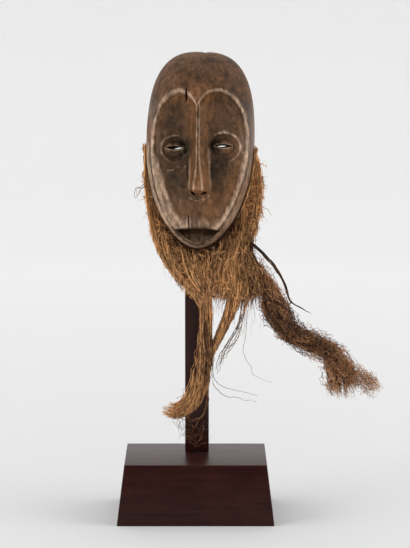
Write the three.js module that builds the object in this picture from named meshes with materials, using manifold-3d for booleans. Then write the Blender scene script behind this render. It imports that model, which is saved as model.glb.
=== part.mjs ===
// A small heart-faced wooden mask with a fibre beard, on its wooden stand.
// Millimetres, +Z up. The origin is the centre of the stand's underside, and the face looks along -Y.
import * as THREE from "three";
import { mergeVertices } from "three/addons/utils/BufferGeometryUtils.js";
import Module from "manifold-3d";

// Stand
const BASE_TOP_WIDTH = 106;
const BASE_TOP_DEPTH = 77;
const BASE_HEIGHT = 45;
const BASE_SLOPE_RUN = 5.6;
const POST_WIDTH = 18;
const POST_THICKNESS = 10;
const POST_CENTRE_X = 0.9;
const POST_FRONT_Y = 6;
const TOUCHING_GAP = 0.3;

// Mask, in its own frame: chin at the origin, rear edge on the plane y = 0
const MASK_HEIGHT = 147;
const MASK_HALF_WIDTH = 40.4;
const WIDEST_LEVEL = 75.5;
const DOME_ROUNDNESS = 2.8;
const JAW_ROUNDNESS = 1.85;
const CHIN_DEPTH = 30;
const DOME_DEPTH = 44;
const DEPTH_GROWS_UP_TO = 100;
const CHIN_EDGE_SHARPNESS = 15;
const DOME_EDGE_SHARPNESS = 2.4;
const EDGE_ROUNDS_UP_TO = 110;
const WALL = 6.5;
const HOLLOW_DEPTH_AT_CHIN = 18;
const HOLLOW_DEPTH_AT_DOME = 27;
const HOLLOW_DEEPENS_FROM = 40;
const HOLLOW_DEEPENS_TO = 115;
const HOLLOW_SHARPNESS = 3;
const MASK_PLACE = new THREE.Vector3(1.7, 4.6, 201.5);
const MASK_YAW = -2.5;
const MASK_LEAN = -5;
const MASK_ROLL = 1.2;

// Heart-shaped field sunk into the face
const HEART_LEFT = 35.2;
const HEART_RIGHT = 36.8;
const HEART_TOP = 47.5;
const HEART_BOTTOM = 71;
const LOBE_ROUNDNESS = 2.6;
const HEART_JAW_ROUNDNESS_LEFT = 1.8;
const HEART_JAW_ROUNDNESS_RIGHT = 1.64;
const CLEFT_DEPTH = 17;
const CLEFT_SPREAD = 9.5;
const CLEFT_ANGLE = -2.6;
const BEVEL_WIDTH = 4;
const BEVEL_DROP_AT_BROW = 3.5;
const BEVEL_DROP_AT_JAW = 5;
const BEVEL_CHANGES_FROM = 70;
const BEVEL_CHANGES_TO = 100;
const FIELD_BLEND = 18;
const CHEEK_DEPTH = 29.5;
const BROW_FULLNESS = 4.5;
const BROW_FROM = 82;
const BROW_TO = 112;
const LIP_FALL = 3.5;
const LIP_FALLS_BELOW = 30;

// Nose
const NOSE_TOP = 108;
const NOSE_TIP = 44.8;
const NOSE_BASE = 41;
const RIDGE_TOP_DEPTH = 39.8;
const RIDGE_TIP_DEPTH = 41.2;
const NOSE_ROOT_DEPTH_TOP = 30;
const NOSE_ROOT_DEPTH_TIP = 27;
const FACET_TOP_HALF = 1;
const FACET_TIP_HALF = 3.1;
const FACET_FLARES_BELOW = 0.36;
const NOSE_TOP_LEFT = 6;
const NOSE_TOP_RIGHT = 6.4;
const NOSE_TIP_LEFT = 7.3;
const NOSE_TIP_RIGHT = 9.4;
const NOSE_TOP_X = -0.8;
const NOSE_TIP_X = 0.6;
const NOSE_STEPS = 5;

// Eyes, each with its socket and the slit through the lid
const EYES = [
  { x: -16.9, z: 74.4, halfWidth: 9.4, halfHeight: 9.3, slitX: -17.7, slitZ: 75.1 },
  { x: 18.7, z: 76.4, halfWidth: 11.3, halfHeight: 10.1, slitX: 18.2, slitZ: 77.3 },
];
const SOCKET_DEPTH = 3.4;
const SOCKET_AROUND = 20;
const LID_HALF_WIDTH = 7.6;
const LID_HALF_HEIGHT = 5.2;
const LID_BULGE = 2.4;
const LID_BELOW_SLIT = 0.6;
const LID_AROUND = 12;
const SLIT_HALF_LENGTH = 6.9;
const SLIT_HEIGHT = 1.7;
const SLIT_STEPS = 8;

// Mouth, nostrils and the drying crack in the brow
const MOUTH_TOP = 16;
const MOUTH_ARCH = 1;
const MOUTH_CORNER = 16.8;
const MOUTH_FULLNESS = 11;
const MOUTH_FOOT = 4;
const MOUTH_FLOOR_DEPTH = 15.5;
const NOSTRIL_SPREAD = 3.9;
const NOSTRIL_HEIGHT = 40.2;
const NOSTRIL_DEPTH = 31;
const NOSTRIL_RADIUS = 1.7;
const NOSTRIL_REACH = 3;
const NOSTRIL_AROUND = 8;
const CRACK_X = -9.6;
const CRACK_TOP = 119.5;
const CRACK_LENGTH = 11.5;
const CRACK_WIDTH = 1.1;
const CRACK_SLANT = 1;
const CRACK_DEPTH = 4.5;
const FRONT_CLEAR = 60;

// Tie holes through the side wall along the jaw, from the left eye's level round the chin to the right
const TIE_HOLES = 11;
const TIE_HOLE_RADIUS = 1.5;
const TIE_HOLE_SIDES = 6;
const TIE_HOLE_FROM_EDGE = 4.5;
const TIE_HOLE_FIRST_ANGLE = -92;
const TIE_HOLE_LAST_ANGLE = -268;

// Ruff: a curtain of locks side by side
const LOCKS = 15;
const CELLS_PER_LOCK = 4;
const RUFF_STEPS_DOWN = 9;
const LOCK_FIRST_ANGLE = -87;
const LOCK_LAST_ANGLE = -273;
const LOCK_ROOT_DEPTH = 6;
const LOCK_ROOT_OUTSIDE = 0.5;
const LOCK_SPRING = 4.5;
const LOCK_SPRING_BY = 0.12;
const LOCK_THIN_ABOVE = 0.6;
const LOCK_THICKENS_BY = 0.35;
const LOCK_THIN_BELOW = 0.7;
const LOCK_THINS_FROM = 0.6;
const LOCK_GROOVE = 0.72;
const LOCK_TIP = 2.5;
const LOCK_TIP_FROM = 0.8;
const RUFF_HALF_THICKNESS = 6.4;
const RUFF_LEFT_SWELL = 8;
const RUFF_LEFT_SAG = 4;
const RUFF_RIGHT_WAIST = 6;
const RUFF_WAIST_AT = 0.63;
const RUFF_WAIST_SPREAD = 0.13;
const RUFF_LEFT_END = new THREE.Vector3(-6, -6, 171);
const RUFF_MIDDLE_END = new THREE.Vector3(9, -6.5, 168);
const RUFF_RIGHT_END = new THREE.Vector3(48.5, -5, 166);

// Hanging parts of the beard: the points that the middle line runs through, and the half widths across the
// view and front to back, each at the root, halfway and at the tip
const LONG_TRESS = {
  points: [[3.3, -7, 176], [7.6, -8, 158], [7.6, -8, 140], [6.6, -8, 122], [3.6, -8, 104.5], [-1.2, -8, 91],
    [-9, -9, 82.5], [-17, -10, 80.5], [-23.6, -11, 83.8]],
  across: [4.2, 5.6, 4.6],
  deep: [4.4, 5, 4],
  sides: 10,
  steps: 18,
};
const SHORT_TRESS = {
  points: [[31, -7, 170], [25.6, -7, 155], [19, -7.5, 140], [12.6, -8, 126]],
  across: [4.6, 2.8, 2.8],
  deep: [3.4, 2.4, 2.4],
  sides: 8,
  steps: 8,
};
const DARK_TAIL = {
  points: [[46.4, -2, 191.3], [55, -1, 176], [60, 0, 160], [65, 0, 147], [72.5, 0, 138.5], [84, 0, 132],
    [96.6, 0, 125.8], [105.4, 0, 117], [107.4, 0, 107], [106.3, 0, 97.4], [106.3, 0, 90.3]],
  across: [5.8, 9.6, 5],
  deep: [5.4, 7.5, 5],
  sides: 10,
  steps: 20,
};
const TAIL_WISP = {
  points: [[103, 0, 113.5], [114.7, 0, 109], [125, 0, 103], [133, 0, 97], [138.5, 0, 92.5]],
  across: [4, 5.4, 3],
  deep: [3, 4.4, 2.5],
  sides: 8,
  steps: 6,
};
const DARK_STRAND = {
  points: [[37, -10, 208], [44, -10, 204.5], [52, -10, 197], [60.3, -10, 187.6], [66.8, -10, 176],
    [70.6, -10, 164.3], [78.3, -10, 159.1], [88.6, -10, 153.2]],
  across: [1.6, 1.4, 0.9],
  deep: [1.6, 1.4, 0.9],
  sides: 6,
  steps: 14,
};

// Rings and spokes of the mask's faces
const AROUND = 96;
const FIELD_RINGS = 8;
const SKIN_RINGS = 6;
const HOLLOW_RINGS = 5;
const ROOM_RINGS = 8;

const WOOD = { color: 0x5a3d2b, roughness: 0.55 };
const STAND_WOOD = { color: 0x2e1c18, roughness: 0.4 };
const GOLDEN_FIBRE = { color: 0x9a6a35, roughness: 0.8 };
const DARK_FIBRE = { color: 0x4a2f20, roughness: 0.85 };

// Vertices closer than this are one vertex, shorter edges than this are smoothed away after a cut, and a fit is
// looked for in steps of this size
const SAME_PLACE = 1e-4;
const SMALLEST_EDGE = 0.05;
const SEARCH_STEP = 0.1;

const wasm = await Module();
wasm.setup();

const radians = THREE.MathUtils.degToRad;
const mix = THREE.MathUtils.lerp;
const smooth = (low, high, value) => THREE.MathUtils.smoothstep(value, low, high);

function toSolid(geometry) {
  const bare = geometry.clone();
  bare.deleteAttribute("normal");
  bare.deleteAttribute("uv");
  const merged = mergeVertices(bare, SAME_PLACE);
  return new wasm.Manifold(new wasm.Mesh({
    numProp: 3,
    vertProperties: new Float32Array(merged.attributes.position.array),
    triVerts: new Uint32Array(merged.index.array),
  }));
}

function toGeometry(solid) {
  const mesh = solid.getMesh();
  const geometry = new THREE.BufferGeometry();
  geometry.setAttribute("position", new THREE.BufferAttribute(new Float32Array(mesh.vertProperties), 3));
  geometry.setIndex(new THREE.BufferAttribute(new Uint32Array(mesh.triVerts), 1));
  geometry.computeVertexNormals();
  return geometry;
}

function moveVertices(geometry, move) {
  const position = geometry.attributes.position;
  const point = new THREE.Vector3();
  for (let i = 0; i < position.count; i += 1) {
    point.fromBufferAttribute(position, i);
    move(point);
    position.setXYZ(i, point.x, point.y, point.z);
  }
  return geometry;
}

function namedMesh(name, geometry, finish) {
  const material = new THREE.MeshStandardMaterial({ ...finish, metalness: 0, flatShading: true });
  const mesh = new THREE.Mesh(geometry, material);
  mesh.name = name;
  return mesh;
}

// Distance from the face's centre to an oval with a different reach on each side, in the direction of an
// angle measured from straight up towards the viewer's right
function ovalRadius(angle, reach) {
  const across = Math.sin(angle);
  const along = Math.cos(angle);
  const side = across < 0 ? reach.left : reach.right;
  const end = along < 0 ? reach.down : reach.up;
  const power = along < 0 ? reach.downPower : reach.upPower;
  const sum = Math.abs(across / side) ** power + Math.abs(along / end) ** power;
  return sum ** (-1 / power);
}

function outlineRadius(angle) {
  return ovalRadius(angle, {
    left: MASK_HALF_WIDTH,
    right: MASK_HALF_WIDTH,
    up: MASK_HEIGHT - WIDEST_LEVEL,
    down: WIDEST_LEVEL,
    upPower: DOME_ROUNDNESS,
    downPower: JAW_ROUNDNESS,
  });
}

function heartRadius(angle) {
  const lobes = ovalRadius(angle, {
    left: HEART_LEFT,
    right: HEART_RIGHT,
    up: HEART_TOP,
    down: HEART_BOTTOM,
    upPower: LOBE_ROUNDNESS,
    downPower: Math.sin(angle) < 0 ? HEART_JAW_ROUNDNESS_LEFT : HEART_JAW_ROUNDNESS_RIGHT,
  });
  const turn = angle - radians(CLEFT_ANGLE);
  const shortestTurn = Math.atan2(Math.sin(turn), Math.cos(turn));
  return lobes - CLEFT_DEPTH * Math.exp(-Math.abs(shortestTurn) / radians(CLEFT_SPREAD));
}

// How far in front of the rear edge the uncarved block's skin lies
function skinDepth(x, z) {
  const reach = Math.hypot(x, z - WIDEST_LEVEL) / outlineRadius(Math.atan2(x, z - WIDEST_LEVEL));
  const sharpness = mix(CHIN_EDGE_SHARPNESS, DOME_EDGE_SHARPNESS, smooth(0, EDGE_ROUNDS_UP_TO, z));
  const fullDepth = mix(CHIN_DEPTH, DOME_DEPTH, smooth(0, DEPTH_GROWS_UP_TO, z));
  return fullDepth * Math.sqrt(Math.max(0, 1 - Math.min(reach, 1) ** sharpness));
}

// Depth of the sunk field beside the nose, away from its edge
function cheekDepth(z) {
  const brow = BROW_FULLNESS * smooth(BROW_FROM, BROW_TO, z);
  const lip = LIP_FALL * (1 - smooth(0, LIP_FALLS_BELOW, z));
  return CHEEK_DEPTH + brow - lip;
}

function fieldDepth(x, z) {
  const angle = Math.atan2(x, z - WIDEST_LEVEL);
  const inward = heartRadius(angle) - Math.hypot(x, z - WIDEST_LEVEL);
  const drop = mix(BEVEL_DROP_AT_JAW, BEVEL_DROP_AT_BROW, smooth(BEVEL_CHANGES_FROM, BEVEL_CHANGES_TO, z));
  const edge = skinDepth(x, z) - drop;
  return mix(edge, Math.min(edge, cheekDepth(z)), smooth(0, FIELD_BLEND, inward));
}

function hollowDepth(x, z) {
  const radius = outlineRadius(Math.atan2(x, z - WIDEST_LEVEL)) - WALL;
  const reach = Math.min(1, Math.hypot(x, z - WIDEST_LEVEL) / radius);
  const height = smooth(HOLLOW_DEEPENS_FROM, HOLLOW_DEEPENS_TO, z);
  const fullDepth = mix(HOLLOW_DEPTH_AT_CHIN, HOLLOW_DEPTH_AT_DOME, height);
  return fullDepth * Math.sqrt(Math.max(0, 1 - reach ** HOLLOW_SHARPNESS));
}

function facePoint(radius, angle, depthAt) {
  const x = radius * Math.sin(angle);
  const z = WIDEST_LEVEL + radius * Math.cos(angle);
  return new THREE.Vector3(x, -depthAt(x, z), z);
}

// A ball's rings from its front pole to its back pole, each moved by its own rule
function ballByRings(rings, ringPoint) {
  const sphere = new THREE.SphereGeometry(1, AROUND, rings);
  return moveVertices(sphere, (point) => {
    const ring = Math.round(Math.acos(THREE.MathUtils.clamp(-point.y, -1, 1)) / Math.PI * rings);
    const onAxis = ring === 0 || ring === rings;
    const angle = onAxis ? 0 : Math.atan2(point.x, point.z) + radians(CLEFT_ANGLE);
    point.copy(ringPoint(ring, angle));
  });
}

// Field, bevel, skin and rear edge, then the hollow back to the middle
function hollowBlock() {
  const edgeRing = FIELD_RINGS + 1 + SKIN_RINGS;
  return ballByRings(edgeRing + 1 + HOLLOW_RINGS, (ring, angle) => {
    const heart = heartRadius(angle);
    const outline = outlineRadius(angle);
    if (ring <= FIELD_RINGS) {
      return facePoint((heart - BEVEL_WIDTH) * ring / FIELD_RINGS, angle, fieldDepth);
    }
    if (ring <= edgeRing) {
      const share = Math.sin((ring - FIELD_RINGS - 1) / SKIN_RINGS * Math.PI / 2);
      return facePoint(mix(heart, outline, share), angle, skinDepth);
    }
    const share = Math.sin((1 - (ring - edgeRing - 1) / HOLLOW_RINGS) * Math.PI / 2);
    return facePoint((outline - WALL) * share, angle, hollowDepth);
  });
}

// The room the mask takes up, grown a little and closed flat behind
function maskRoom() {
  const rings = 2 * ROOM_RINGS;
  return ballByRings(rings, (ring, angle) => {
    const outline = outlineRadius(angle);
    const point = facePoint(outline * Math.sin(Math.min(ring / ROOM_RINGS, 1) * Math.PI / 2), angle, skinDepth);
    if (ring > ROOM_RINGS) {
      point.copy(facePoint(outline * (rings - ring) / ROOM_RINGS, angle, () => 0));
    }
    const outward = new THREE.Vector3(point.x, 0, point.z - WIDEST_LEVEL).normalize();
    point.addScaledVector(outward, TOUCHING_GAP);
    point.y += ring > ROOM_RINGS ? TOUCHING_GAP : -TOUCHING_GAP;
    return point;
  }).applyMatrix4(maskMesh.matrix);
}

// A wedge with a narrow front facet that flares towards the tip, and flanks that lean back into the cheeks
function noseBlock() {
  return moveVertices(new THREE.BoxGeometry(1, 1, 1, 1, 1, NOSE_STEPS), (point) => {
    const up = point.z + 0.5;
    const front = point.y < 0;
    const facetHalf = mix(FACET_TIP_HALF, FACET_TOP_HALF, smooth(0, FACET_FLARES_BELOW, up));
    const left = mix(NOSE_TIP_LEFT, NOSE_TOP_LEFT, up);
    const right = mix(NOSE_TIP_RIGHT, NOSE_TOP_RIGHT, up);
    const reach = front ? facetHalf : (point.x < 0 ? left : right);
    const ridge = mix(RIDGE_TIP_DEPTH, RIDGE_TOP_DEPTH, up);
    const root = mix(NOSE_ROOT_DEPTH_TIP, NOSE_ROOT_DEPTH_TOP, up);
    const centre = mix(NOSE_TIP_X, NOSE_TOP_X, up);
    const foot = front ? NOSE_TIP : NOSE_BASE;
    point.set(centre + Math.sign(point.x) * reach, front ? -ridge : -root, mix(foot, NOSE_TOP, up));
  });
}

function ball(centre, halfSizes, around) {
  return toSolid(new THREE.SphereGeometry(1, around, around / 2)
    .rotateX(Math.PI / 2)
    .scale(...halfSizes)
    .translate(...centre));
}

// A cutter of the given front outline that starts at a depth and runs out in front of the face
function frontCutter(shape, depth) {
  const bar = { depth: FRONT_CLEAR - depth, bevelEnabled: false, curveSegments: SLIT_STEPS };
  return toSolid(new THREE.ExtrudeGeometry(shape, bar).rotateX(Math.PI / 2).translate(0, -depth, 0));
}

function slitShape(x, z) {
  const shape = new THREE.Shape();
  shape.moveTo(x - SLIT_HALF_LENGTH, z);
  shape.quadraticCurveTo(x, z - SLIT_HEIGHT, x + SLIT_HALF_LENGTH, z);
  shape.quadraticCurveTo(x, z + SLIT_HEIGHT, x - SLIT_HALF_LENGTH, z);
  return shape;
}

function mouthShape() {
  const shape = new THREE.Shape();
  const cornerHeight = MOUTH_TOP - MOUTH_ARCH;
  shape.moveTo(-MOUTH_CORNER, cornerHeight);
  shape.quadraticCurveTo(0, MOUTH_TOP + MOUTH_ARCH, MOUTH_CORNER, cornerHeight);
  shape.quadraticCurveTo(MOUTH_FULLNESS, MOUTH_FOOT, 0, MOUTH_FOOT);
  shape.quadraticCurveTo(-MOUTH_FULLNESS, MOUTH_FOOT, -MOUTH_CORNER, cornerHeight);
  return shape;
}

function crackShape() {
  const shape = new THREE.Shape();
  shape.moveTo(CRACK_X - CRACK_WIDTH / 2, CRACK_TOP);
  shape.lineTo(CRACK_X + CRACK_WIDTH / 2, CRACK_TOP - CRACK_SLANT);
  shape.lineTo(CRACK_X + CRACK_WIDTH / 2, CRACK_TOP - CRACK_LENGTH);
  shape.lineTo(CRACK_X, CRACK_TOP - CRACK_LENGTH + CRACK_SLANT);
  return shape;
}

function tieHoleAngle(index) {
  return radians(mix(TIE_HOLE_FIRST_ANGLE, TIE_HOLE_LAST_ANGLE, index / (TIE_HOLES - 1)));
}

function tieHole(index) {
  const angle = tieHoleAngle(index);
  const radius = outlineRadius(angle);
  const drill = new THREE.CylinderGeometry(TIE_HOLE_RADIUS, TIE_HOLE_RADIUS, 4 * WALL, TIE_HOLE_SIDES);
  drill.rotateZ(-Math.PI / 2).rotateY(angle - Math.PI / 2);
  drill.translate(radius * Math.sin(angle), -TIE_HOLE_FROM_EDGE, WIDEST_LEVEL + radius * Math.cos(angle));
  return toSolid(drill);
}

function carvedMask() {
  let mask = toSolid(hollowBlock()).add(toSolid(noseBlock()));
  for (const eye of EYES) {
    const cheek = fieldDepth(eye.x, eye.z);
    const socketSize = [eye.halfWidth, SOCKET_DEPTH, eye.halfHeight];
    const lidSize = [LID_HALF_WIDTH, LID_BULGE, LID_HALF_HEIGHT];
    const lidHeight = eye.slitZ - LID_BELOW_SLIT;
    mask = mask.subtract(ball([eye.x, -cheek, eye.z], socketSize, SOCKET_AROUND));
    mask = mask.add(ball([eye.slitX, SOCKET_DEPTH - cheek, lidHeight], lidSize, LID_AROUND));
    mask = mask.subtract(frontCutter(slitShape(eye.slitX, eye.slitZ), 0));
  }
  mask = mask.subtract(frontCutter(mouthShape(), MOUTH_FLOOR_DEPTH));
  for (const side of [-1, 1]) {
    const place = [NOSE_TIP_X + side * NOSTRIL_SPREAD, -NOSTRIL_DEPTH, NOSTRIL_HEIGHT];
    mask = mask.subtract(ball(place, [NOSTRIL_RADIUS, NOSTRIL_REACH, NOSTRIL_RADIUS], NOSTRIL_AROUND));
  }
  mask = mask.subtract(frontCutter(crackShape(), skinDepth(CRACK_X, CRACK_TOP) - CRACK_DEPTH));
  for (let i = 0; i < TIE_HOLES; i += 1) {
    mask = mask.subtract(tieHole(i));
  }
  return mask;
}

const maskMesh = namedMesh("mask", toGeometry(carvedMask()), WOOD);
maskMesh.position.copy(MASK_PLACE);
maskMesh.rotation.set(radians(MASK_LEAN), radians(MASK_ROLL), radians(MASK_YAW), "ZXY");
maskMesh.updateMatrix();

function baseBlock() {
  const block = new THREE.BoxGeometry(BASE_TOP_WIDTH, BASE_TOP_DEPTH, BASE_HEIGHT);
  block.translate(0, 0, BASE_HEIGHT / 2);
  return moveVertices(block, (point) => {
    if (point.z === 0) {
      point.x += Math.sign(point.x) * BASE_SLOPE_RUN;
      point.y += Math.sign(point.y) * BASE_SLOPE_RUN;
    }
  });
}

// The post ends just under the ceiling of the mask's hollow, found by stepping down from above
function postTop() {
  const toMask = maskMesh.matrix.clone().invert();
  const corner = new THREE.Vector3();
  for (let top = MASK_PLACE.z + MASK_HEIGHT; top > MASK_PLACE.z; top -= SEARCH_STEP) {
    const clear = [-1, 1].every((side) => {
      corner.set(POST_CENTRE_X + side * POST_WIDTH / 2, POST_FRONT_Y, top + TOUCHING_GAP).applyMatrix4(toMask);
      const reach = Math.hypot(corner.x, corner.z - WIDEST_LEVEL);
      const limit = outlineRadius(Math.atan2(corner.x, corner.z - WIDEST_LEVEL)) - WALL;
      return reach < limit && hollowDepth(corner.x, corner.z) > -corner.y + TOUCHING_GAP;
    });
    if (clear) {
      return top;
    }
  }
  return MASK_PLACE.z;
}

function postBlock(grow) {
  const foot = BASE_HEIGHT + TOUCHING_GAP;
  const height = postTop() - foot;
  return new THREE.BoxGeometry(POST_WIDTH + 2 * grow, POST_THICKNESS + 2 * grow, height)
    .translate(POST_CENTRE_X, POST_FRONT_Y + POST_THICKNESS / 2, foot + height / 2);
}

// Thickness that swells from the root, holds, and thins towards the tip
function taper([root, middle, tip], along) {
  return along < 0.5 ? mix(root, middle, smooth(0, 0.5, along)) : mix(middle, tip, smooth(0.5, 1, along));
}

// A rod with oval cross-section, thick and thin along its length, bent along a smooth curve and grown a little
function bentRod(part, grow) {
  const curve = new THREE.CatmullRomCurve3(part.points.map((p) => new THREE.Vector3(...p)), false, "centripetal");
  const rod = new THREE.CylinderGeometry(1, 1, 1, part.sides, part.steps);
  return moveVertices(rod, (point) => {
    const along = THREE.MathUtils.clamp(point.y + 0.5, 0, 1);
    const centre = curve.getPointAt(along);
    const tangent = curve.getTangentAt(along);
    const across = new THREE.Vector3(0, 1, 0).cross(tangent).normalize();
    const deep = across.clone().cross(tangent).normalize();
    const x = point.x * (taper(part.across, along) + grow);
    const z = point.z * (taper(part.deep, along) + grow);
    point.copy(centre).addScaledVector(across, x).addScaledVector(deep, z);
  });
}

// Middle of the curtain of locks, a share of the way across from left to right, and down from the tie holes
// along the jaw to the lower edge
function ruffPoint(across, down) {
  const angle = radians(mix(LOCK_FIRST_ANGLE, LOCK_LAST_ANGLE, across));
  const radius = outlineRadius(angle) + LOCK_ROOT_OUTSIDE;
  const rootHeight = WIDEST_LEVEL + radius * Math.cos(angle);
  const root = new THREE.Vector3(radius * Math.sin(angle), -LOCK_ROOT_DEPTH, rootHeight);
  const outward = new THREE.Vector3(Math.sin(angle), 0, 0);
  root.applyMatrix4(maskMesh.matrix);
  const left = 1 - Math.min(2 * across, 1);
  const right = Math.max(0, 2 * across - 1);
  const end = RUFF_MIDDLE_END.clone().lerp(RUFF_LEFT_END, left).lerp(RUFF_RIGHT_END, right);
  const swell = Math.sin(down * Math.PI);
  const spring = smooth(0, LOCK_SPRING_BY, down) * (1 - down);
  root.lerp(end, down).addScaledVector(outward, LOCK_SPRING * spring);
  const waist = Math.exp(-(((down - RUFF_WAIST_AT) / RUFF_WAIST_SPREAD) ** 2));
  root.x -= RUFF_LEFT_SWELL * left * swell + RUFF_RIGHT_WAIST * right * waist;
  root.z -= RUFF_LEFT_SAG * left * swell;
  return root;
}

function ruffCurtain() {
  const sheet = new THREE.BoxGeometry(1, 1, 1, LOCKS * CELLS_PER_LOCK, 1, RUFF_STEPS_DOWN);
  return moveVertices(sheet, (point) => {
    const across = point.x + 0.5;
    const down = 0.5 - point.z;
    const face = Math.sign(point.y);
    const lock = Math.abs(Math.sin(across * LOCKS * Math.PI));
    const thinAbove = mix(LOCK_THIN_ABOVE, 1, smooth(0, LOCK_THICKENS_BY, down));
    const thinBelow = mix(1, LOCK_THIN_BELOW, smooth(LOCK_THINS_FROM, 1, down));
    const halfThickness = RUFF_HALF_THICKNESS * thinAbove * thinBelow * mix(LOCK_GROOVE, 1, lock);
    point.copy(ruffPoint(across, down));
    point.y += face * halfThickness;
    point.z -= LOCK_TIP * lock * smooth(LOCK_TIP_FROM, 1, down);
  });
}

// The curtain with room made for its neighbours, without the slivers left between them
function beardRuff() {
  let ruff = toSolid(ruffCurtain());
  const hanging = [LONG_TRESS, SHORT_TRESS, DARK_TAIL, DARK_STRAND].map((part) => bentRod(part, TOUCHING_GAP));
  for (const neighbour of [maskRoom(), postBlock(TOUCHING_GAP), ...hanging]) {
    ruff = ruff.subtract(toSolid(neighbour));
  }
  const pieces = ruff.simplify(SMALLEST_EDGE).decompose();
  return pieces.reduce((kept, piece) => (piece.volume() > kept.volume() ? piece : kept));
}

const shortTress = toSolid(bentRod(SHORT_TRESS, 0)).subtract(toSolid(bentRod(LONG_TRESS, TOUCHING_GAP)));
const darkTail = toSolid(bentRod(DARK_TAIL, 0)).add(toSolid(bentRod(TAIL_WISP, 0)));

const object = new THREE.Group();
object.add(maskMesh);
object.add(namedMesh("beard_ruff", toGeometry(beardRuff()), GOLDEN_FIBRE));
object.add(namedMesh("beard_long_tress", bentRod(LONG_TRESS, 0), GOLDEN_FIBRE));
object.add(namedMesh("beard_short_tress", toGeometry(shortTress), GOLDEN_FIBRE));
object.add(namedMesh("beard_dark_tail", toGeometry(darkTail), DARK_FIBRE));
object.add(namedMesh("beard_dark_strand", bentRod(DARK_STRAND, 0), DARK_FIBRE));
object.add(namedMesh("post", postBlock(0), STAND_WOOD));
object.add(namedMesh("base_block", baseBlock(), STAND_WOOD));

export default object;
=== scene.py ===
"""A small heart-faced wooden mask with a fibre beard, on its wooden stand.

The sizes and places of the pieces are fixed by the frame. This script carves the mask's finished surface,
ties the beard on fibre by fibre, finishes the stand and sets the stage. Lengths are in millimetres unless a
comment says otherwise. The mask's own frame has its chin at the origin and its rear edge on the plane y = 0.
"""

import math

import bmesh
import bpy
import numpy as np
from bpy.props import FloatProperty, FloatVectorProperty, IntProperty, PointerProperty
from mathutils import Matrix, Vector


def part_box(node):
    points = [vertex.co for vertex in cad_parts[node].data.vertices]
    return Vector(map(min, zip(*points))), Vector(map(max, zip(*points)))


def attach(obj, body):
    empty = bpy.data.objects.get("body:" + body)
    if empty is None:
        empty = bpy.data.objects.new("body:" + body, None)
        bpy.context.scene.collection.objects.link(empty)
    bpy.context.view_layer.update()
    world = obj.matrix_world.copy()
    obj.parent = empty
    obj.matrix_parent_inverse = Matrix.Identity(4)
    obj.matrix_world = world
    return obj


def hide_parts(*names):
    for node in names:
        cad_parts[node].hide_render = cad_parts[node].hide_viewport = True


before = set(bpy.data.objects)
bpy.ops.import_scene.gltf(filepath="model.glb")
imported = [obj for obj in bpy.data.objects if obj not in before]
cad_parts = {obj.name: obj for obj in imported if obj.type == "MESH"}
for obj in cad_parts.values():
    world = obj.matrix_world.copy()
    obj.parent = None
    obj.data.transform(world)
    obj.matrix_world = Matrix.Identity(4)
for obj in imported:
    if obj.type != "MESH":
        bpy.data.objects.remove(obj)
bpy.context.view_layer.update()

bl_info = {
    "name": "Heart-faced mask",
    "version": (1, 0, 0),
    "blender": (4, 5, 0),
    "location": "View3D > Sidebar > Mask",
    "description": "Carves a small wooden mask, ties on its fibre beard and sets it on its stand",
    "category": "Object",
}

MM = 0.001
BODY = "root"

# The mask's block, as in the frame
MASK_HEIGHT = 147
MASK_HALF_WIDTH = 40.4
WIDEST_LEVEL = 75.5
DOME_ROUNDNESS = 2.8
JAW_ROUNDNESS = 1.85
CHIN_DEPTH = 30
DOME_DEPTH = 44
DEPTH_GROWS_UP_TO = 100
CHIN_EDGE_SHARPNESS = 15
DOME_EDGE_SHARPNESS = 2.4
EDGE_ROUNDS_UP_TO = 110
WALL = 6.5
HOLLOW_DEPTH_AT_CHIN = 18
HOLLOW_DEPTH_AT_DOME = 27
HOLLOW_DEEPENS_FROM = 40
HOLLOW_DEEPENS_TO = 115
HOLLOW_SHARPNESS = 3
MASK_PLACE = (1.7, 4.6, 201.5)
MASK_YAW = -2.5
MASK_LEAN = -5
MASK_ROLL = 1.2

# Heart-shaped field
HEART_LEFT = 35.2
HEART_RIGHT = 36.8
HEART_TOP = 47.5
HEART_BOTTOM = 71
LOBE_ROUNDNESS = 2.6
HEART_JAW_ROUNDNESS_LEFT = 1.8
HEART_JAW_ROUNDNESS_RIGHT = 1.64
CLEFT_DEPTH = 17
CLEFT_SPREAD = 9.5
CLEFT_ANGLE = -2.6
BEVEL_WIDTH = 4
BEVEL_DROP_AT_BROW = 3.5
BEVEL_DROP_AT_JAW = 5
BEVEL_CHANGES_FROM = 70
BEVEL_CHANGES_TO = 100
FIELD_BLEND = 18
CHEEK_DEPTH = 29.5
BROW_FULLNESS = 4.5
BROW_FROM = 82
BROW_TO = 112
LIP_FALL = 3.5
LIP_FALLS_BELOW = 30
GROOVE_OUTSIDE = 0.8
GROOVE_HALF_WIDTH = 0.75
GROOVE_DEPTH = 1.3
GROOVE_FADES_FROM = 70
GROOVE_FADES_TO = 92

# Nose
NOSE_TOP = 108
NOSE_TIP = 44.8
NOSE_BASE = 41
RIDGE_TOP_DEPTH = 39.8
RIDGE_TIP_DEPTH = 41.2
NOSE_ROOT_DEPTH_TOP = 30
NOSE_ROOT_DEPTH_TIP = 27
FACET_TOP_HALF = 1
FACET_TIP_HALF = 3.1
FACET_FLARES_BELOW = 0.36
NOSE_TOP_LEFT = 6
NOSE_TOP_RIGHT = 6.4
NOSE_TIP_LEFT = 7.3
NOSE_TIP_RIGHT = 9.4
NOSE_TOP_X = -0.8
NOSE_TIP_X = 0.6
NOSE_BLEND = 0.5
NOSE_PASSES_EDGE_BY = 2

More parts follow.
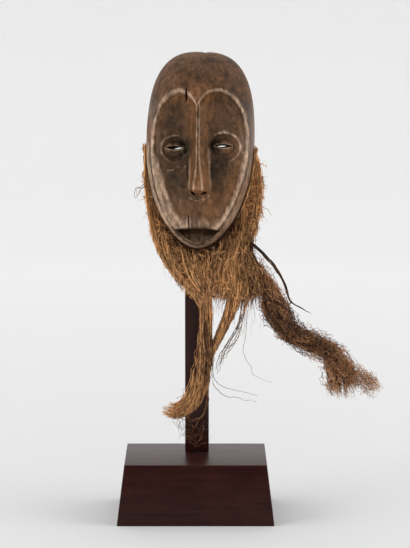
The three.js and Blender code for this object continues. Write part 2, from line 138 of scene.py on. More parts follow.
# Eyes: centre and half size of each socket, the middle of the carved slit, the smaller gap that opens right
# through it with its turn from level, the side the nose lies on, and which way the rim is worn and how much
EYES = (
    {"x": -16.9, "z": 74.4, "half_width": 9.9, "half_height": 9.1, "slit_x": -17.7, "slit_z": 75.1,
     "gap_x": -15.6, "gap_z": 74.7, "gap_turn": -8, "nose_side": 1, "ring_towards": -1.2, "ring_worn": 0.5},
    {"x": 18.7, "z": 76.4, "half_width": 11.3, "half_height": 10.1, "slit_x": 18.2, "slit_z": 77.3,
     "gap_x": 16.4, "gap_z": 77.0, "gap_turn": -4, "nose_side": -1, "ring_towards": 0.9, "ring_worn": 0.95},
)
SOCKET_DEPTH = 3.6
SOCKET_LEAN = 0.4
SOCKET_SHARPNESS = 2.4
SOCKET_RIM_RISE = 0.5
SOCKET_RIM_AT = 1.06
SOCKET_RIM_SPREAD = 0.1
LID_HALF_WIDTH = 8.2
LID_HALF_HEIGHT = 5.6
LID_SHARPNESS = 2.2
LID_BULGE = 2.6
LID_BELOW_SLIT = 0.9
SLIT_HALF_LENGTH = 6.9
SLIT_HALF_HEIGHT = 1.35
SLIT_DEPTH = 3.4
GAP_HALF_LENGTH = 3.7
GAP_HALF_HEIGHT = 0.44

# Mouth, nostrils and cracks
MOUTH_TOP = 16.2
MOUTH_CORNER_FALL = 1.2
MOUTH_CORNER = 16.8
MOUTH_ROUNDNESS = 1.8
MOUTH_DEPTH_ABOVE = 15
MOUTH_DEPTH_BELOW = 20
MOUTH_BOTTOM = 4.5
MOUTH_PASSES_JAW_BY = 0.3
MOUTH_EDGE_WIDTH_AT_TOP = 0.7
MOUTH_EDGE_WIDTH_AT_FOOT = 2.2
NOSTRILS = (
    {"x": -3.4, "z": 41.9, "turn": 38},
    {"x": 4.7, "z": 42.2, "turn": -30},
)
NOSTRIL_HALF_LENGTH = 2.6
NOSTRIL_HALF_HEIGHT = 0.95
NOSTRIL_DEPTH = 4
CRACKS = (
    {"x": -9.6, "z": 114, "half_length": 6, "half_width": 0.8, "depth": 4.5},
    {"x": -6.3, "z": 20.4, "half_length": 6, "half_width": 0.5, "depth": 3},
    {"x": -7.7, "z": 56.5, "half_length": 11, "half_width": 0.34, "depth": 2},
)
CRACK_WANDER = 0.25
# Pale scratches and flecks of residue: one end, the other end and the width
SCRATCHES = (
    ((-9.3, 40.6), (-7.6, 38.9), 0.5),
    ((-6.4, 38.8), (-4.2, 37.6), 0.7),
    ((3.4, 37.4), (5.2, 37.9), 0.7),
    ((6.6, 38.4), (8.6, 40.8), 0.5),
    ((-1.2, 36.7), (1.0, 36.4), 0.5),
    ((-14.8, 61.2), (-14.2, 60.6), 0.8),
    ((-9.6, 62.2), (-9.2, 61.2), 0.8),
    ((-22.5, 58.4), (-18, 58.8), 0.35),
    ((18.3, 88.3), (19.3, 88.0), 0.9),
    ((-5.1, 26.5), (-5.3, 15), 0.5),
    ((-7.4, 24.5), (-7.9, 15), 0.4),
)
FRONT_CLEAR = 60

# Tie holes through the side wall
TIE_HOLES = 11
TIE_HOLE_RADIUS = 1.5
TIE_HOLE_FROM_EDGE = 4.5
TIE_HOLE_FIRST_ANGLE = -92
TIE_HOLE_LAST_ANGLE = -268

# Rings of the carved skin and of the hollow, counted from the middle out, the shares of the skin's rings at
# which the field, the bevel and the strip with the groove end, and the strip's width
SKIN_RINGS = 120
FIELD_SHARE = 0.6
BEVEL_SHARE = 0.68
GROOVE_SHARE = 0.73
GROOVE_STRIP = 1.8
HOLLOW_RINGS = 60

# Marks of the knife on the skin and of the gouge in the hollow, the dent in the rear edge at the top, and the
# angle in degrees from which the mask's edges stay sharp
MARK_LENGTH = 9
FINE_MARK_LENGTH = 4
MARKS_FADE_IN = 8
GOUGE_LENGTH = 5.5
GOUGE_HEIGHT = 0.35
GOUGES_FADE_IN = 6
DENT_X = 1.8
DENT_HALF_WIDTH = 2.2
DENT_FROM = 142
DENT_DEPTH = 0.6
MASK_SHARP_FROM = 48

# Random numbers of each kind of fibre start from its own seed
RUFF_SEED = 11
TRESS_SEED = 23
TAIL_SEED = 37
HAIR_SEED = 53

# Beard: the ruff's curtain along the jaw, and the middle lines of the hanging parts with the half widths
# across the view and front to back, from the root to the tip
LOCK_FIRST_ANGLE = -87
LOCK_LAST_ANGLE = -273
LOCK_ROOT_DEPTH = 6
LOCK_ROOT_OUTSIDE = 0.3
LOCK_SPRING = 4.5
LOCK_SPRING_BY = 0.12
RUFF_HALF_THICKNESS = 6.4
RUFF_LEFT_SWELL = 10
RUFF_LEFT_SAG = 5
RUFF_RIGHT_WAIST = 8.5
RUFF_WAIST_AT = 0.63
RUFF_WAIST_SPREAD = 0.13
RUFF_LEFT_END = (-6, -6, 171)
RUFF_MIDDLE_END = (9, -6.5, 166.5)
RUFF_RIGHT_END = (48, -5, 163.5)
# Fibres up to this share of the ruff from the left sweep into the long tress, over this half width
SWEEP_ENDS_AT = 0.54
SWEEP_HALF_WIDTH = 3.6
# Reddish fibres that fan out from the ruff's right waist and cover the root of the dark tail
RIGHT_FAN = {
    "points": ((34, -4, 214), (37, -6, 203), (40.5, -6, 191), (43, -6, 178), (44.5, -6, 163)),
    "across": (2.5, 3.5, 6, 8.5, 10.5),
    "deep": (3, 4, 5, 5.5, 5),
}
LONG_TRESS = {
    "points": ((3.3, -7, 176), (7.6, -8, 158), (7.6, -8, 140), (6.6, -8, 122), (3.6, -8, 104.5),
               (-1.2, -8, 91), (-9, -9, 82.5), (-17, -10, 80.5), (-23.6, -11, 83.8)),
    "across": (4.8, 3.7, 4.4, 5.4, 6.0, 6.4, 6.4, 6.2, 6.0),
    "deep": (4.4, 4.4, 4.8, 5, 5, 5, 4.6, 4.2, 4),
}
SHORT_TRESS = {
    "points": ((31, -7, 172), (25.6, -7, 155), (19, -7.5, 140), (12.6, -8, 126), (8.5, -9, 112)),
    "across": (6, 4.2, 3.2, 2.8, 2.4),
    "deep": (3.4, 2.8, 2.4, 2.2, 2),
}
DARK_TAIL = {
    "points": ((43.5, -2, 193), (51.5, -1, 177), (59, 0, 160), (65, 0, 147), (72.5, 0, 138.5), (84, 0, 132),
               (96.6, 0, 125.8), (105.4, 0, 117), (109, 0, 107), (110, 0, 96), (110, 0, 86)),
    "across": (3.4, 6, 8.3, 11, 9.5, 8.5, 9.5, 9, 11, 12, 9),
    "deep": (4, 5.5, 6.5, 7, 7, 6.5, 6, 5.5, 5, 4.5, 4),
}
TAIL_WISP = {
    "points": ((103, 0, 113.5), (114.7, 0, 109), (125, 0, 103), (133, 0, 97), (138.5, 0, 92.5)),
    "across": (4, 6, 7.5, 7, 5),
    "deep": (4, 5, 5, 5, 4),
}
DARK_STRAND = {
    "points": ((30, -4, 210), (38, -7, 207.5), (44, -10, 204.5), (52, -10, 197), (60.3, -10, 187.6),
               (66.8, -10, 176), (70.6, -10, 164.3), (78.3, -10, 159.1), (88.6, -10, 153.2)),
    "across": (1.6, 1.6, 1.5, 1.5, 1.3, 0.9, 0.7, 0.5, 0.3),
    "deep": (2, 1.6, 1.4, 1.3, 1.1, 0.9, 0.7, 0.5, 0.3),
}

# Camera, solved from the stand's edges in a picture of 410 x 548: place, degrees down from level and lens
CAMERA_PLACE = (7.0, -1760.0, 435.35)
CAMERA_PITCH = 8.165
CAMERA_LENS = 155.88

# Stand: how far the base block is drawn in at the top, and the angle from which its edges stay sharp
BASE_TAPER = 5.6
STAND_SHARP_FROM = 40

# Stage, in metres: the floor's shape, the distances over which its colour turns into the middle one, the far
# one and the dark one behind the camera, and the air's share of light from the front
# The floor's colour is painted light and shade: darker by the stand, lighter far out, and dark behind the
# camera as the unlit room there
FLOOR_RADIUS = 3.2
FLOOR_BEND = 0.9
FLOOR_WALL_TOP = 1.5
FLOOR_TURNS_MIDDLE = (0.1, 1.3)
FLOOR_TURNS_FAR = (1.5, 2.8)
FLOOR_TURNS_DARK = (-1.5, -1.9)
FLOOR_DARK = (0.06, 0.06, 0.06)
FRONT_AIR_SHARE = 0.3

# Each softbox by its place, where it points, its width and height, and its share of the left one's watts, and
# the light behind the object in the same order, with watts of its own
SOFTBOXES = {
    "left_softbox": ((-1.5, -0.7, 1.0), (0, 0, 0.25), 1.4, 1.6, 1),
    "right_softbox": ((1.5, -0.3, 0.8), (0, 0, 0.25), 1.2, 1.6, 0.8),
    "top_softbox": ((0, 0.2, 1.7), (0, 0, 0.2), 1.4, 1.0, 0.15),
}
BACKLIGHT = ((0, 1.2, 1.7), (0, 3.2, 0.4), 2.4, 0.6)


# Settings

def colour_setting(name, description, default):
    return FloatVectorProperty(name=name, description=description, subtype="COLOR", size=3, default=default)


def length_setting(name, description, default):
    return FloatProperty(name=name, description=description, unit="LENGTH", default=default)


def share_setting(name, description, default):
    return FloatProperty(name=name, description=description, subtype="FACTOR", default=default)


class MaskSettings(bpy.types.PropertyGroup):
    """Finish of the carved mask."""

    tool_marks: length_setting("Tool marks", "Height of the facets left by the knife", 0.16 * MM)
    wood: colour_setting("Wood", "Colour of the polished wood", (0.118, 0.058, 0.028))
    worn: colour_setting("Worn wood", "Colour where handling has worn the edges pale", (0.6, 0.41, 0.28))
    dust: colour_setting("Dusty residue", "Colour of dusty patches in the dark residue", (0.115, 0.1, 0.066))
    # Also the colour of the painted shade on the low side wall, in the sockets' inner corners and inside the
    # cuts
    soot_and_shade: colour_setting("Dark residue", "Colour of the matt residue round the eyes", (0.016, 0.012, 0.007))
    warm: colour_setting("Warm wood", "Colour of the reddish patches", (0.25, 0.112, 0.044))


class BeardSettings(bpy.types.PropertyGroup):
    """Number, thickness and colours of the beard's fibres."""

    ruff_fibres: IntProperty(name="Ruff fibres", description="Fibres tied round the jaw", default=4400)
    tress_fibres: IntProperty(name="Tress fibres", description="Fibres in the long tress", default=760)
    tail_fibres: IntProperty(name="Tail fibres", description="Fibres in the dark tail", default=1800)
    fibre_radius: length_setting("Fibre radius", "Half the thickness of a common fibre", 0.22 * MM)
    golden: colour_setting("Golden fibre", "Lightest colour of the golden fibre", (1.0, 0.53, 0.22))
    brown: colour_setting("Brown fibre", "Darkest colour of the golden fibre", (0.06, 0.018, 0.006))
    dark: colour_setting("Dark fibre", "Colour of the dark tail and strand", (0.17, 0.075, 0.038))
    bleached: colour_setting("Bleached fibre", "Colour of the loose end of the tail", (0.5, 0.25, 0.11))


class StandSettings(bpy.types.PropertyGroup):
    """Finish of the post and the base."""

    edge: length_setting("Edge rounding", "Radius of the stand's edges", 0.7 * MM)
    stain: colour_setting("Stain", "Colour of the stained wood", (0.024, 0.0065, 0.006))
    grain: colour_setting("Grain", "Colour of the lighter grain", (0.045, 0.012, 0.008))


class StageSettings(bpy.types.PropertyGroup):
    """Floor and light."""

    # The near floor is painted darker as shade by the stand, the far floor lighter as painted light
    near: share_setting("Near floor", "Share of the light that the floor sends back by the stand", 0.68)
    middle: share_setting("Middle floor", "Share of the light that the floor sends back farther out", 0.84)
    far: share_setting("Far floor", "Share of the light that the floor sends back far away", 0.98)
    sky: FloatProperty(name="Overall light", description="Strength of the even light all round", default=1.0)
    softboxes: FloatProperty(
        name="Softboxes", description="Strength of the left softbox in watts", default=15.5)
    backlight: FloatProperty(
        name="Backlight", description="Strength of the light on the far wall in watts", default=6.0)


# Numbers

def mix(a, b, share):
    return a + (b - a) * share


def between(low, high, value):
    """The share of the way from low to high, never under 0 or over 1."""
    return np.clip((value - low) / (high - low), 0, 1)


def smooth(low, high, value):
    share = between(low, high, value)
    return share * share * (3 - 2 * share)


def hill(value, centre, width):
    """1 at the centre, falling away smoothly by about the width."""
    return np.exp(-((value - centre) / width) ** 2)


def soft_max(a, b, blend):
    share = np.clip(0.5 + (a - b) / (2 * blend), 0, 1)
    return mix(b, a, share) + blend * share * (1 - share)


def ripple(x, z, length):
    """Irregular waves between -1 and 1, about that far apart."""
    k = 2 * math.pi / length
    waves = np.sin(k * x + 1.7 * np.sin(0.43 * k * z))
    waves = waves * np.sin(0.71 * k * z + 1.3 * np.sin(0.57 * k * x + 0.8))
    return 0.65 * waves + 0.35 * np.sin(1.9 * k * x + 2.3 * k * z + np.sin(k * x))


def nearest_turn(angle):
    """The same turn as an angle between half a turn to the left and half a turn to the right."""
    return np.arctan2(np.sin(angle), np.cos(angle))


def unit(vectors):
    return vectors / (np.linalg.norm(vectors, axis=-1, keepdims=True) + 1e-9)


def through(points, steps):
    """Smooth curves through points, given as curves x points x 3. Each curve gets steps + 1 places."""
    count = points.shape[1]
    before = 2 * points[:, :1] - points[:, 1:2]
    after = 2 * points[:, -1:] - points[:, -2:-1]
    padded = np.concatenate([before, points, after], axis=1)
    place = np.linspace(0, count - 1, steps + 1)
    first = np.minimum(place.astype(int), count - 2)
    f = (place - first)[None, :, None]
    p0, p1, p2, p3 = (padded[:, first + i] for i in range(4))
    return 0.5 * (2 * p1 + (p2 - p0) * f + (2 * p0 - 5 * p1 + 4 * p2 - p3) * f**2
                  + (3 * p1 - p0 - 3 * p2 + p3) * f**3)


def along_line(line, share):
    """Places on the smooth curve through a line's points, each at its share of the way."""
    fine = through(np.array(line, float)[None], 60)[0]
    steps = np.linalg.norm(np.diff(fine, axis=0), axis=1)
    reached = np.concatenate([[0], np.cumsum(steps)]) / steps.sum()
    clipped = np.clip(share, 0, 1)
    found = np.stack([np.interp(clipped, reached, fine[:, i]) for i in range(3)], axis=-1)
    overshoot = (share - clipped)[..., None] * steps.sum()
    start_way = (fine[1] - fine[0]) / steps[0]
    end_way = (fine[-1] - fine[-2]) / steps[-1]
    return found + np.where(overshoot < 0, start_way, end_way) * overshoot


# Objects and materials

def linked(name, data):
    piece = bpy.data.objects.new(name, data)
    bpy.context.scene.collection.objects.link(piece)
    return piece


def to_mesh(name, bm):
    mesh = bpy.data.meshes.new(name)
    bm.to_mesh(mesh)
    bm.free()
    return mesh


def get_places(mesh):
    places = np.empty(len(mesh.vertices) * 3, np.float32)
    mesh.vertices.foreach_get("co", places)
    return places.reshape(-1, 3).astype(float)


def set_places(mesh, places):
    mesh.vertices.foreach_set("co", places.astype(np.float32).ravel())
    mesh.update()


def add_values(mesh, name, values):
    attribute = mesh.attributes.new(name, "FLOAT", "POINT")
    attribute.data.foreach_set("value", np.asarray(values, np.float32).ravel())


def evaluated(name, piece):
    """A plain mesh of an object with its modifiers applied. The object itself is removed."""
    depsgraph = bpy.context.evaluated_depsgraph_get()
    mesh = bpy.data.meshes.new_from_object(piece.evaluated_get(depsgraph))
    mesh.name = name
    bpy.data.objects.remove(piece)
    return mesh


def finish_piece(piece, material, slot, *nodes):
    piece.data.materials.clear()
    piece.data.materials.append(material)
    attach(piece, BODY)
    if nodes:
        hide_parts(*nodes)


class Shader:
    """Builds one node material, with short calls for the nodes it needs."""

    def __init__(self, name):
        self.material = bpy.data.materials.new(name)
        self.material.use_nodes = True
        self.tree = self.material.node_tree
        self.surface = self.tree.nodes["Principled BSDF"]

    def add(self, kind, inputs=(), **settings):
        made = self.tree.nodes.new(kind)
        for name, value in settings.items():
            setattr(made, name, value)
        for name, value in dict(inputs).items():
            self.feed(made.inputs[name], value)
        return made

    def feed(self, socket, value):
        if isinstance(value, bpy.types.NodeSocket):
            self.tree.links.new(value, socket)
        elif socket.type == "RGBA" and len(value) == 3:
            socket.default_value = (*value, 1)
        else:
            socket.default_value = value

    def places(self, scale):
        coordinates = self.add("ShaderNodeTexCoord")
        mapping = self.add("ShaderNodeMapping", {"Vector": coordinates.outputs["Object"], "Scale": scale})
        return mapping.outputs["Vector"]

    def noise(self, scale, detail, roughness=0.55):
        made = self.add("ShaderNodeTexNoise", {
            "Vector": self.places(scale), "Scale": 1, "Detail": detail, "Roughness": roughness})
        return made.outputs["Fac"]

    def attribute(self, name):
        return self.add("ShaderNodeAttribute", attribute_name=name).outputs["Fac"]

    def ramp(self, value, low, high, start=0.0, end=1.0):
        made = self.add("ShaderNodeMapRange", {
            "Value": value, "From Min": low, "From Max": high, "To Min": start, "To Max": end})
        return made.outputs["Result"]

    def math(self, operation, a, b):
        made = self.add("ShaderNodeMath", operation=operation)
        self.feed(made.inputs[0], a)
        self.feed(made.inputs[1], b)
        return made.outputs["Value"]

    def plus(self, a, b):
        return self.math("ADD", a, b)

    def times(self, a, b):
        return self.math("MULTIPLY", a, b)

    def blend(self, a, b, share, kind="MIX"):
        """Colour a turned into b by the share, or multiplied by it."""
        made = self.add("ShaderNodeMix", data_type="RGBA", blend_type=kind, clamp_factor=True)
        self.feed(made.inputs[0], share)
        self.feed(made.inputs[6], a)
        self.feed(made.inputs[7], b)
        return made.outputs[2]

    def bump(self, height, distance, strength):
        made = self.add("ShaderNodeBump", {"Height": height, "Distance": distance, "Strength": strength})
        self.feed(self.surface.inputs["Normal"], made.outputs["Normal"])

    def set(self, **values):
        for name, value in values.items():
            self.feed(self.surface.inputs[name.replace("_", " ")], value)


# Shape of the mask's block

def oval_radius(angle, left, right, up, down, up_power, down_power):
    """Reach of an oval from the face's centre. Angles are measured from straight up to the viewer's right."""
    across = np.sin(angle)
    along = np.cos(angle)
    side = np.where(across < 0, left, right)
    end = np.where(along < 0, down, up)
    power = np.where(along < 0, down_power, up_power)
    return ((np.abs(across) / side) ** power + (np.abs(along) / end) ** power) ** (-1 / power)


def outline_radius(angle):
    return oval_radius(angle, MASK_HALF_WIDTH, MASK_HALF_WIDTH, MASK_HEIGHT - WIDEST_LEVEL, WIDEST_LEVEL,
                       DOME_ROUNDNESS, JAW_ROUNDNESS)


def heart_oval(angle, jaw_roundness):
    """The heart's outline without the cleft at the top."""
    return oval_radius(angle, HEART_LEFT, HEART_RIGHT, HEART_TOP, HEART_BOTTOM, LOBE_ROUNDNESS, jaw_roundness)


def heart_radius(angle):
    jaw = np.where(np.sin(angle) < 0, HEART_JAW_ROUNDNESS_LEFT, HEART_JAW_ROUNDNESS_RIGHT)
    turn = nearest_turn(angle - math.radians(CLEFT_ANGLE))
    return heart_oval(angle, jaw) - CLEFT_DEPTH * np.exp(-np.abs(turn) / math.radians(CLEFT_SPREAD))


def polar(x, z):
    """Distance from the face's centre, and the angle from straight up to the viewer's right."""
    return np.hypot(x, z - WIDEST_LEVEL), np.arctan2(x, z - WIDEST_LEVEL)


def across_and_up(radius, angle):
    """The place at a distance and angle from the face's centre."""
    return radius * np.sin(angle), WIDEST_LEVEL + radius * np.cos(angle)


def heart_inward(x, z):
    """How far inside the heart's edge a place lies. Outside it is negative."""
    radius, angle = polar(x, z)
    return heart_radius(angle) - radius


def skin_depth(x, z):
    radius, angle = polar(x, z)
    reach = np.minimum(radius / outline_radius(angle), 1)
    sharpness = mix(CHIN_EDGE_SHARPNESS, DOME_EDGE_SHARPNESS, smooth(0, EDGE_ROUNDS_UP_TO, z))
    full = mix(CHIN_DEPTH, DOME_DEPTH, smooth(0, DEPTH_GROWS_UP_TO, z))
    return full * np.sqrt(np.maximum(0, 1 - reach**sharpness))


def cheek_depth(z):
    brow = BROW_FULLNESS * smooth(BROW_FROM, BROW_TO, z)
    lip = LIP_FALL * (1 - smooth(0, LIP_FALLS_BELOW, z))
    return CHEEK_DEPTH + brow - lip


def bevelled_depth(x, z):
    """The skin outside the heart, the bevel down from its edge and the sunk field inside."""
    inward = heart_inward(x, z)
    skin = skin_depth(x, z)
    drop = mix(BEVEL_DROP_AT_JAW, BEVEL_DROP_AT_BROW, smooth(BEVEL_CHANGES_FROM, BEVEL_CHANGES_TO, z))
    edge = skin - drop
    field = mix(edge, np.minimum(edge, cheek_depth(z)), smooth(0, FIELD_BLEND, inward))
    bevel = np.clip(inward / BEVEL_WIDTH, 0, 1)
    groove = GROOVE_DEPTH * hill(inward, -GROOVE_OUTSIDE, GROOVE_HALF_WIDTH)
    groove = groove * (1 - smooth(GROOVE_FADES_FROM, GROOVE_FADES_TO, z))
    return mix(skin, field, bevel) - groove


def nose_shape(x, z):
    """Share of the way up the nose, distance from its middle line, and its half widths there."""
    up = np.clip((z - NOSE_TIP) / (NOSE_TOP - NOSE_TIP), 0, 1)
    off = x - mix(NOSE_TIP_X, NOSE_TOP_X, up)
    facet = mix(FACET_TIP_HALF, FACET_TOP_HALF, smooth(0, FACET_FLARES_BELOW, up))
    left = mix(NOSE_TIP_LEFT, NOSE_TOP_LEFT, up)
    right = mix(NOSE_TIP_RIGHT, NOSE_TOP_RIGHT, up)
    return up, np.abs(off), facet, np.where(off < 0, left, right)


def nose_depth(x, z):
    up, off, facet, half = nose_shape(x, z)
    ridge = mix(RIDGE_TIP_DEPTH, RIDGE_TOP_DEPTH, up)
    root = mix(NOSE_ROOT_DEPTH_TIP, NOSE_ROOT_DEPTH_TOP, up)
    side = np.maximum(off - facet, 0) / (half - facet)
    under = np.maximum(NOSE_TIP - z, 0) / (NOSE_TIP - NOSE_BASE)
    above = np.maximum(z - NOSE_TOP, 0) * 2
    return ridge - (ridge - root) * (side + under) - above


def socket_reach(eye, x, z):
    return np.hypot((x - eye["x"]) / eye["half_width"], (z - eye["z"]) / eye["half_height"])


def lid_reach(eye, x, z):
    across = (x - eye["slit_x"]) / LID_HALF_WIDTH
    along = (z - eye["slit_z"] + LID_BELOW_SLIT) / LID_HALF_HEIGHT
    return np.sqrt(np.abs(across) ** LID_SHARPNESS + np.abs(along) ** 2)


def with_eyes(depth, x, z):
    for eye in EYES:
        reach = socket_reach(eye, x, z)
        lean = 1 + SOCKET_LEAN * np.clip((x - eye["x"]) * eye["nose_side"] / eye["half_width"], -1, 1)
        hollow = SOCKET_DEPTH * lean * np.sqrt(np.maximum(0, 1 - reach**SOCKET_SHARPNESS))
        rim = SOCKET_RIM_RISE * hill(reach, SOCKET_RIM_AT, SOCKET_RIM_SPREAD) * (2 - lean)
        lid = LID_BULGE * np.sqrt(np.maximum(0, 1 - lid_reach(eye, x, z) ** 2))
        depth = depth - hollow + rim + lid
    return depth


def mouth_inside(x, z):
    """How far inside the mouth's recess a place lies."""
    arch = MOUTH_TOP - MOUTH_CORNER_FALL * (x / MOUTH_CORNER) ** 2
    radius, angle = polar(x, z)
    return np.minimum(arch - z, heart_oval(angle, MOUTH_ROUNDNESS) - radius + MOUTH_PASSES_JAW_BY)


def with_mouth(depth, x, z):
    down = smooth(MOUTH_TOP, MOUTH_BOTTOM, z)
    floor = mix(MOUTH_DEPTH_ABOVE, MOUTH_DEPTH_BELOW, down)
    edge_width = mix(MOUTH_EDGE_WIDTH_AT_TOP, MOUTH_EDGE_WIDTH_AT_FOOT, down)
    return mix(depth, np.minimum(depth, floor), smooth(0, 1, mouth_inside(x, z) / edge_width))


def carved_depth(x, z):
    """Depth of the finished front: the block with its heart, nose, eyes and mouth."""
    depth = bevelled_depth(x, z)
    within = heart_inward(x, z) > -NOSE_PASSES_EDGE_BY
    depth = np.where(within, soft_max(depth, nose_depth(x, z), NOSE_BLEND), depth)
    return with_mouth(with_eyes(depth, x, z), x, z)


def hollow_depth(x, z):
    radius, angle = polar(x, z)
    reach = np.minimum(1, radius / (outline_radius(angle) - WALL))
    full = mix(HOLLOW_DEPTH_AT_CHIN, HOLLOW_DEPTH_AT_DOME, smooth(HOLLOW_DEEPENS_FROM, HOLLOW_DEEPENS_TO, z))
    return full * np.sqrt(np.maximum(0, 1 - reach**HOLLOW_SHARPNESS))


def mask_matrix():
    matrix = Matrix.Translation(MASK_PLACE)
    for degrees, axis in ((MASK_YAW, "Z"), (MASK_LEAN, "X"), (MASK_ROLL, "Y")):
        matrix = matrix @ Matrix.Rotation(math.radians(degrees), 4, axis)
    return matrix


def moved(places, matrix):
    m = np.array(matrix)
    return places @ m[:3, :3].T + m[:3, 3]


def to_world(places):
    return moved(places, mask_matrix())


def to_mask(places):
    return moved(places, mask_matrix().inverted())


# The carved mask

def square_sheet(name, rings):
    """A flat square of four-sided faces from -1 to 1, with so many rows from its middle to each side."""
    bm = bmesh.new()
    bmesh.ops.create_grid(bm, x_segments=2 * rings, y_segments=2 * rings, size=1)
    return to_mesh(name, bm)


def ring_and_angle(places):
    """Lays a square sheet out round: share of the way out, and angle from straight up to the right."""
    a, b = places[:, 0], places[:, 1]
    share = np.maximum(np.abs(a), np.abs(b))
    wide = np.abs(a) > np.abs(b)
    safe_a = np.where(wide, a, 1)
    safe_b = np.where(wide | (b == 0), 1, b)
    turn = np.where(wide, b / safe_a, a / safe_b) * math.pi / 4
    x = np.where(wide, a * np.cos(turn), b * np.sin(turn))
    z = np.where(wide, a * np.sin(turn), b * np.cos(turn))
    return share, np.arctan2(x, z)


def bend_skin(mesh):
    """Bends a sheet into the carved front, with rows of vertices along the heart's edge and its groove."""
    share, angle = ring_and_angle(get_places(mesh))
    heart = heart_radius(angle)
    outline = outline_radius(angle)
    field = (heart - BEVEL_WIDTH) * np.minimum(share / FIELD_SHARE, 1)
    bevel = BEVEL_WIDTH * between(FIELD_SHARE, BEVEL_SHARE, share)
    strip = np.minimum(GROOVE_STRIP, 0.4 * (outline - heart))
    groove = strip * between(BEVEL_SHARE, GROOVE_SHARE, share)
    side = np.sin(between(GROOVE_SHARE, 1, share) * math.pi / 2)
    x, z = across_and_up(field + bevel + groove + (outline - heart - strip) * side, angle)
    tool = bpy.context.scene.mask_settings.tool_marks / MM
    marks = tool * (ripple(x, z, MARK_LENGTH) + 0.5 * ripple(x + 20, z, FINE_MARK_LENGTH))
    marks = marks * smooth(0, MARKS_FADE_IN, skin_depth(x, z))
    depth = np.maximum(carved_depth(x, z) + marks, 0)
    dent = hill(x, DENT_X, DENT_HALF_WIDTH) * smooth(DENT_FROM, MASK_HEIGHT, z) * smooth(16, 4, depth)
    set_places(mesh, np.stack([x, -depth, z - DENT_DEPTH * dent], axis=1))


def bend_hollow(mesh):
    """Bends a sheet into the gouged hollow behind the face."""
    share, angle = ring_and_angle(get_places(mesh))
    x, z = across_and_up((outline_radius(angle) - WALL) * np.sin(share * math.pi / 2), angle)
    depth = hollow_depth(x, z)
    gouges = GOUGE_HEIGHT * ripple(x, 0.6 * z, GOUGE_LENGTH) * smooth(0, GOUGES_FADE_IN, depth)
    set_places(mesh, np.stack([x, -depth - gouges, z], axis=1))


def mask_shell():
    """The carved skin and the hollow, joined along the rear edge."""
    bm = bmesh.new()
    for name, rings, bend in (("skin", SKIN_RINGS, bend_skin), ("hollow", HOLLOW_RINGS, bend_hollow)):
        sheet = square_sheet(name, rings)
        bend(sheet)
        bm.from_mesh(sheet)
        bpy.data.meshes.remove(sheet)
    rear_edges = [edge for edge in bm.edges if edge.is_boundary]
    bmesh.ops.bridge_loops(bm, edges=rear_edges)
    bmesh.ops.recalc_face_normals(bm, faces=bm.faces)
    return to_mesh("shell", bm)


def lens_cutter(half_length, half_height, wander=0.0):
    """A bar along y, from 0 to -1, with a lens for its section. The lens wanders up and down if asked to."""
    bm = bmesh.new()
    bmesh.ops.create_circle(bm, segments=28, radius=1, cap_ends=True)
    for vertex in bm.verts:
        across = vertex.co.x
        side = math.copysign(1, vertex.co.y) if abs(vertex.co.y) > 1e-6 else 0
        lift = wander * math.sin(5 * across) + side * half_height * (1 - across * across)
        vertex.co = (across * half_length, 0, lift)
    made = bmesh.ops.extrude_face_region(bm, geom=bm.faces[:])
    far = [item for item in made["geom"] if isinstance(item, bmesh.types.BMVert)]
    bmesh.ops.translate(bm, vec=(0, -1, 0), verts=far)
    bmesh.ops.recalc_face_normals(bm, faces=bm.faces)
    return bm


def placed_bar(bm, x, z, back, turn):
    """Turns a bar and runs it from a depth inside out past the face, with its middle at x and z."""
    bmesh.ops.rotate(bm, verts=bm.verts, cent=(0, 0, 0), matrix=Matrix.Rotation(turn, 3, "Y"))
    bmesh.ops.scale(bm, verts=bm.verts, vec=(1, FRONT_CLEAR - back, 1))
    bmesh.ops.translate(bm, verts=bm.verts, vec=(x, -back, z))
    return bm


def tie_hole_cutter(index):
    angle = math.radians(mix(TIE_HOLE_FIRST_ANGLE, TIE_HOLE_LAST_ANGLE, index / (TIE_HOLES - 1)))
    bm = bmesh.new()
    bmesh.ops.create_cone(bm, cap_ends=True, segments=14, radius1=TIE_HOLE_RADIUS, radius2=TIE_HOLE_RADIUS,
                          depth=4 * WALL)
    bmesh.ops.rotate(bm, verts=bm.verts, cent=(0, 0, 0), matrix=Matrix.Rotation(angle, 3, "Y"))
    x, z = across_and_up(outline_radius(np.array(angle)), angle)
    bmesh.ops.translate(bm, verts=bm.verts, vec=(x, -TIE_HOLE_FROM_EDGE, z))
    return bm


def notch_cutter(x, z, half_length, half_height, depth, turn=0.0, wander=0.0):
    """A bar that cuts so deep below the carved face."""
    floor = float(carved_depth(np.array(x), np.array(z))) - depth
    return placed_bar(lens_cutter(half_length, half_height, wander), x, z, floor, turn)


def together(name, bars):
    """One object of all the bars."""
    joined = bmesh.new()
    for bar in bars:
        mesh = to_mesh("bar", bar)
        joined.from_mesh(mesh)
        bpy.data.meshes.remove(mesh)
    return linked(name, to_mesh(name, joined))


def gap_cutters():
    """Bars right through the mask, inside the carved slits. They overlap those and so cut on their own."""
    bars = []
    for eye in EYES:
        gap = lens_cutter(GAP_HALF_LENGTH, GAP_HALF_HEIGHT)
        bars.append(placed_bar(gap, eye["gap_x"], eye["gap_z"], 0, math.radians(eye["gap_turn"])))
    return together("gap_cutters", bars)


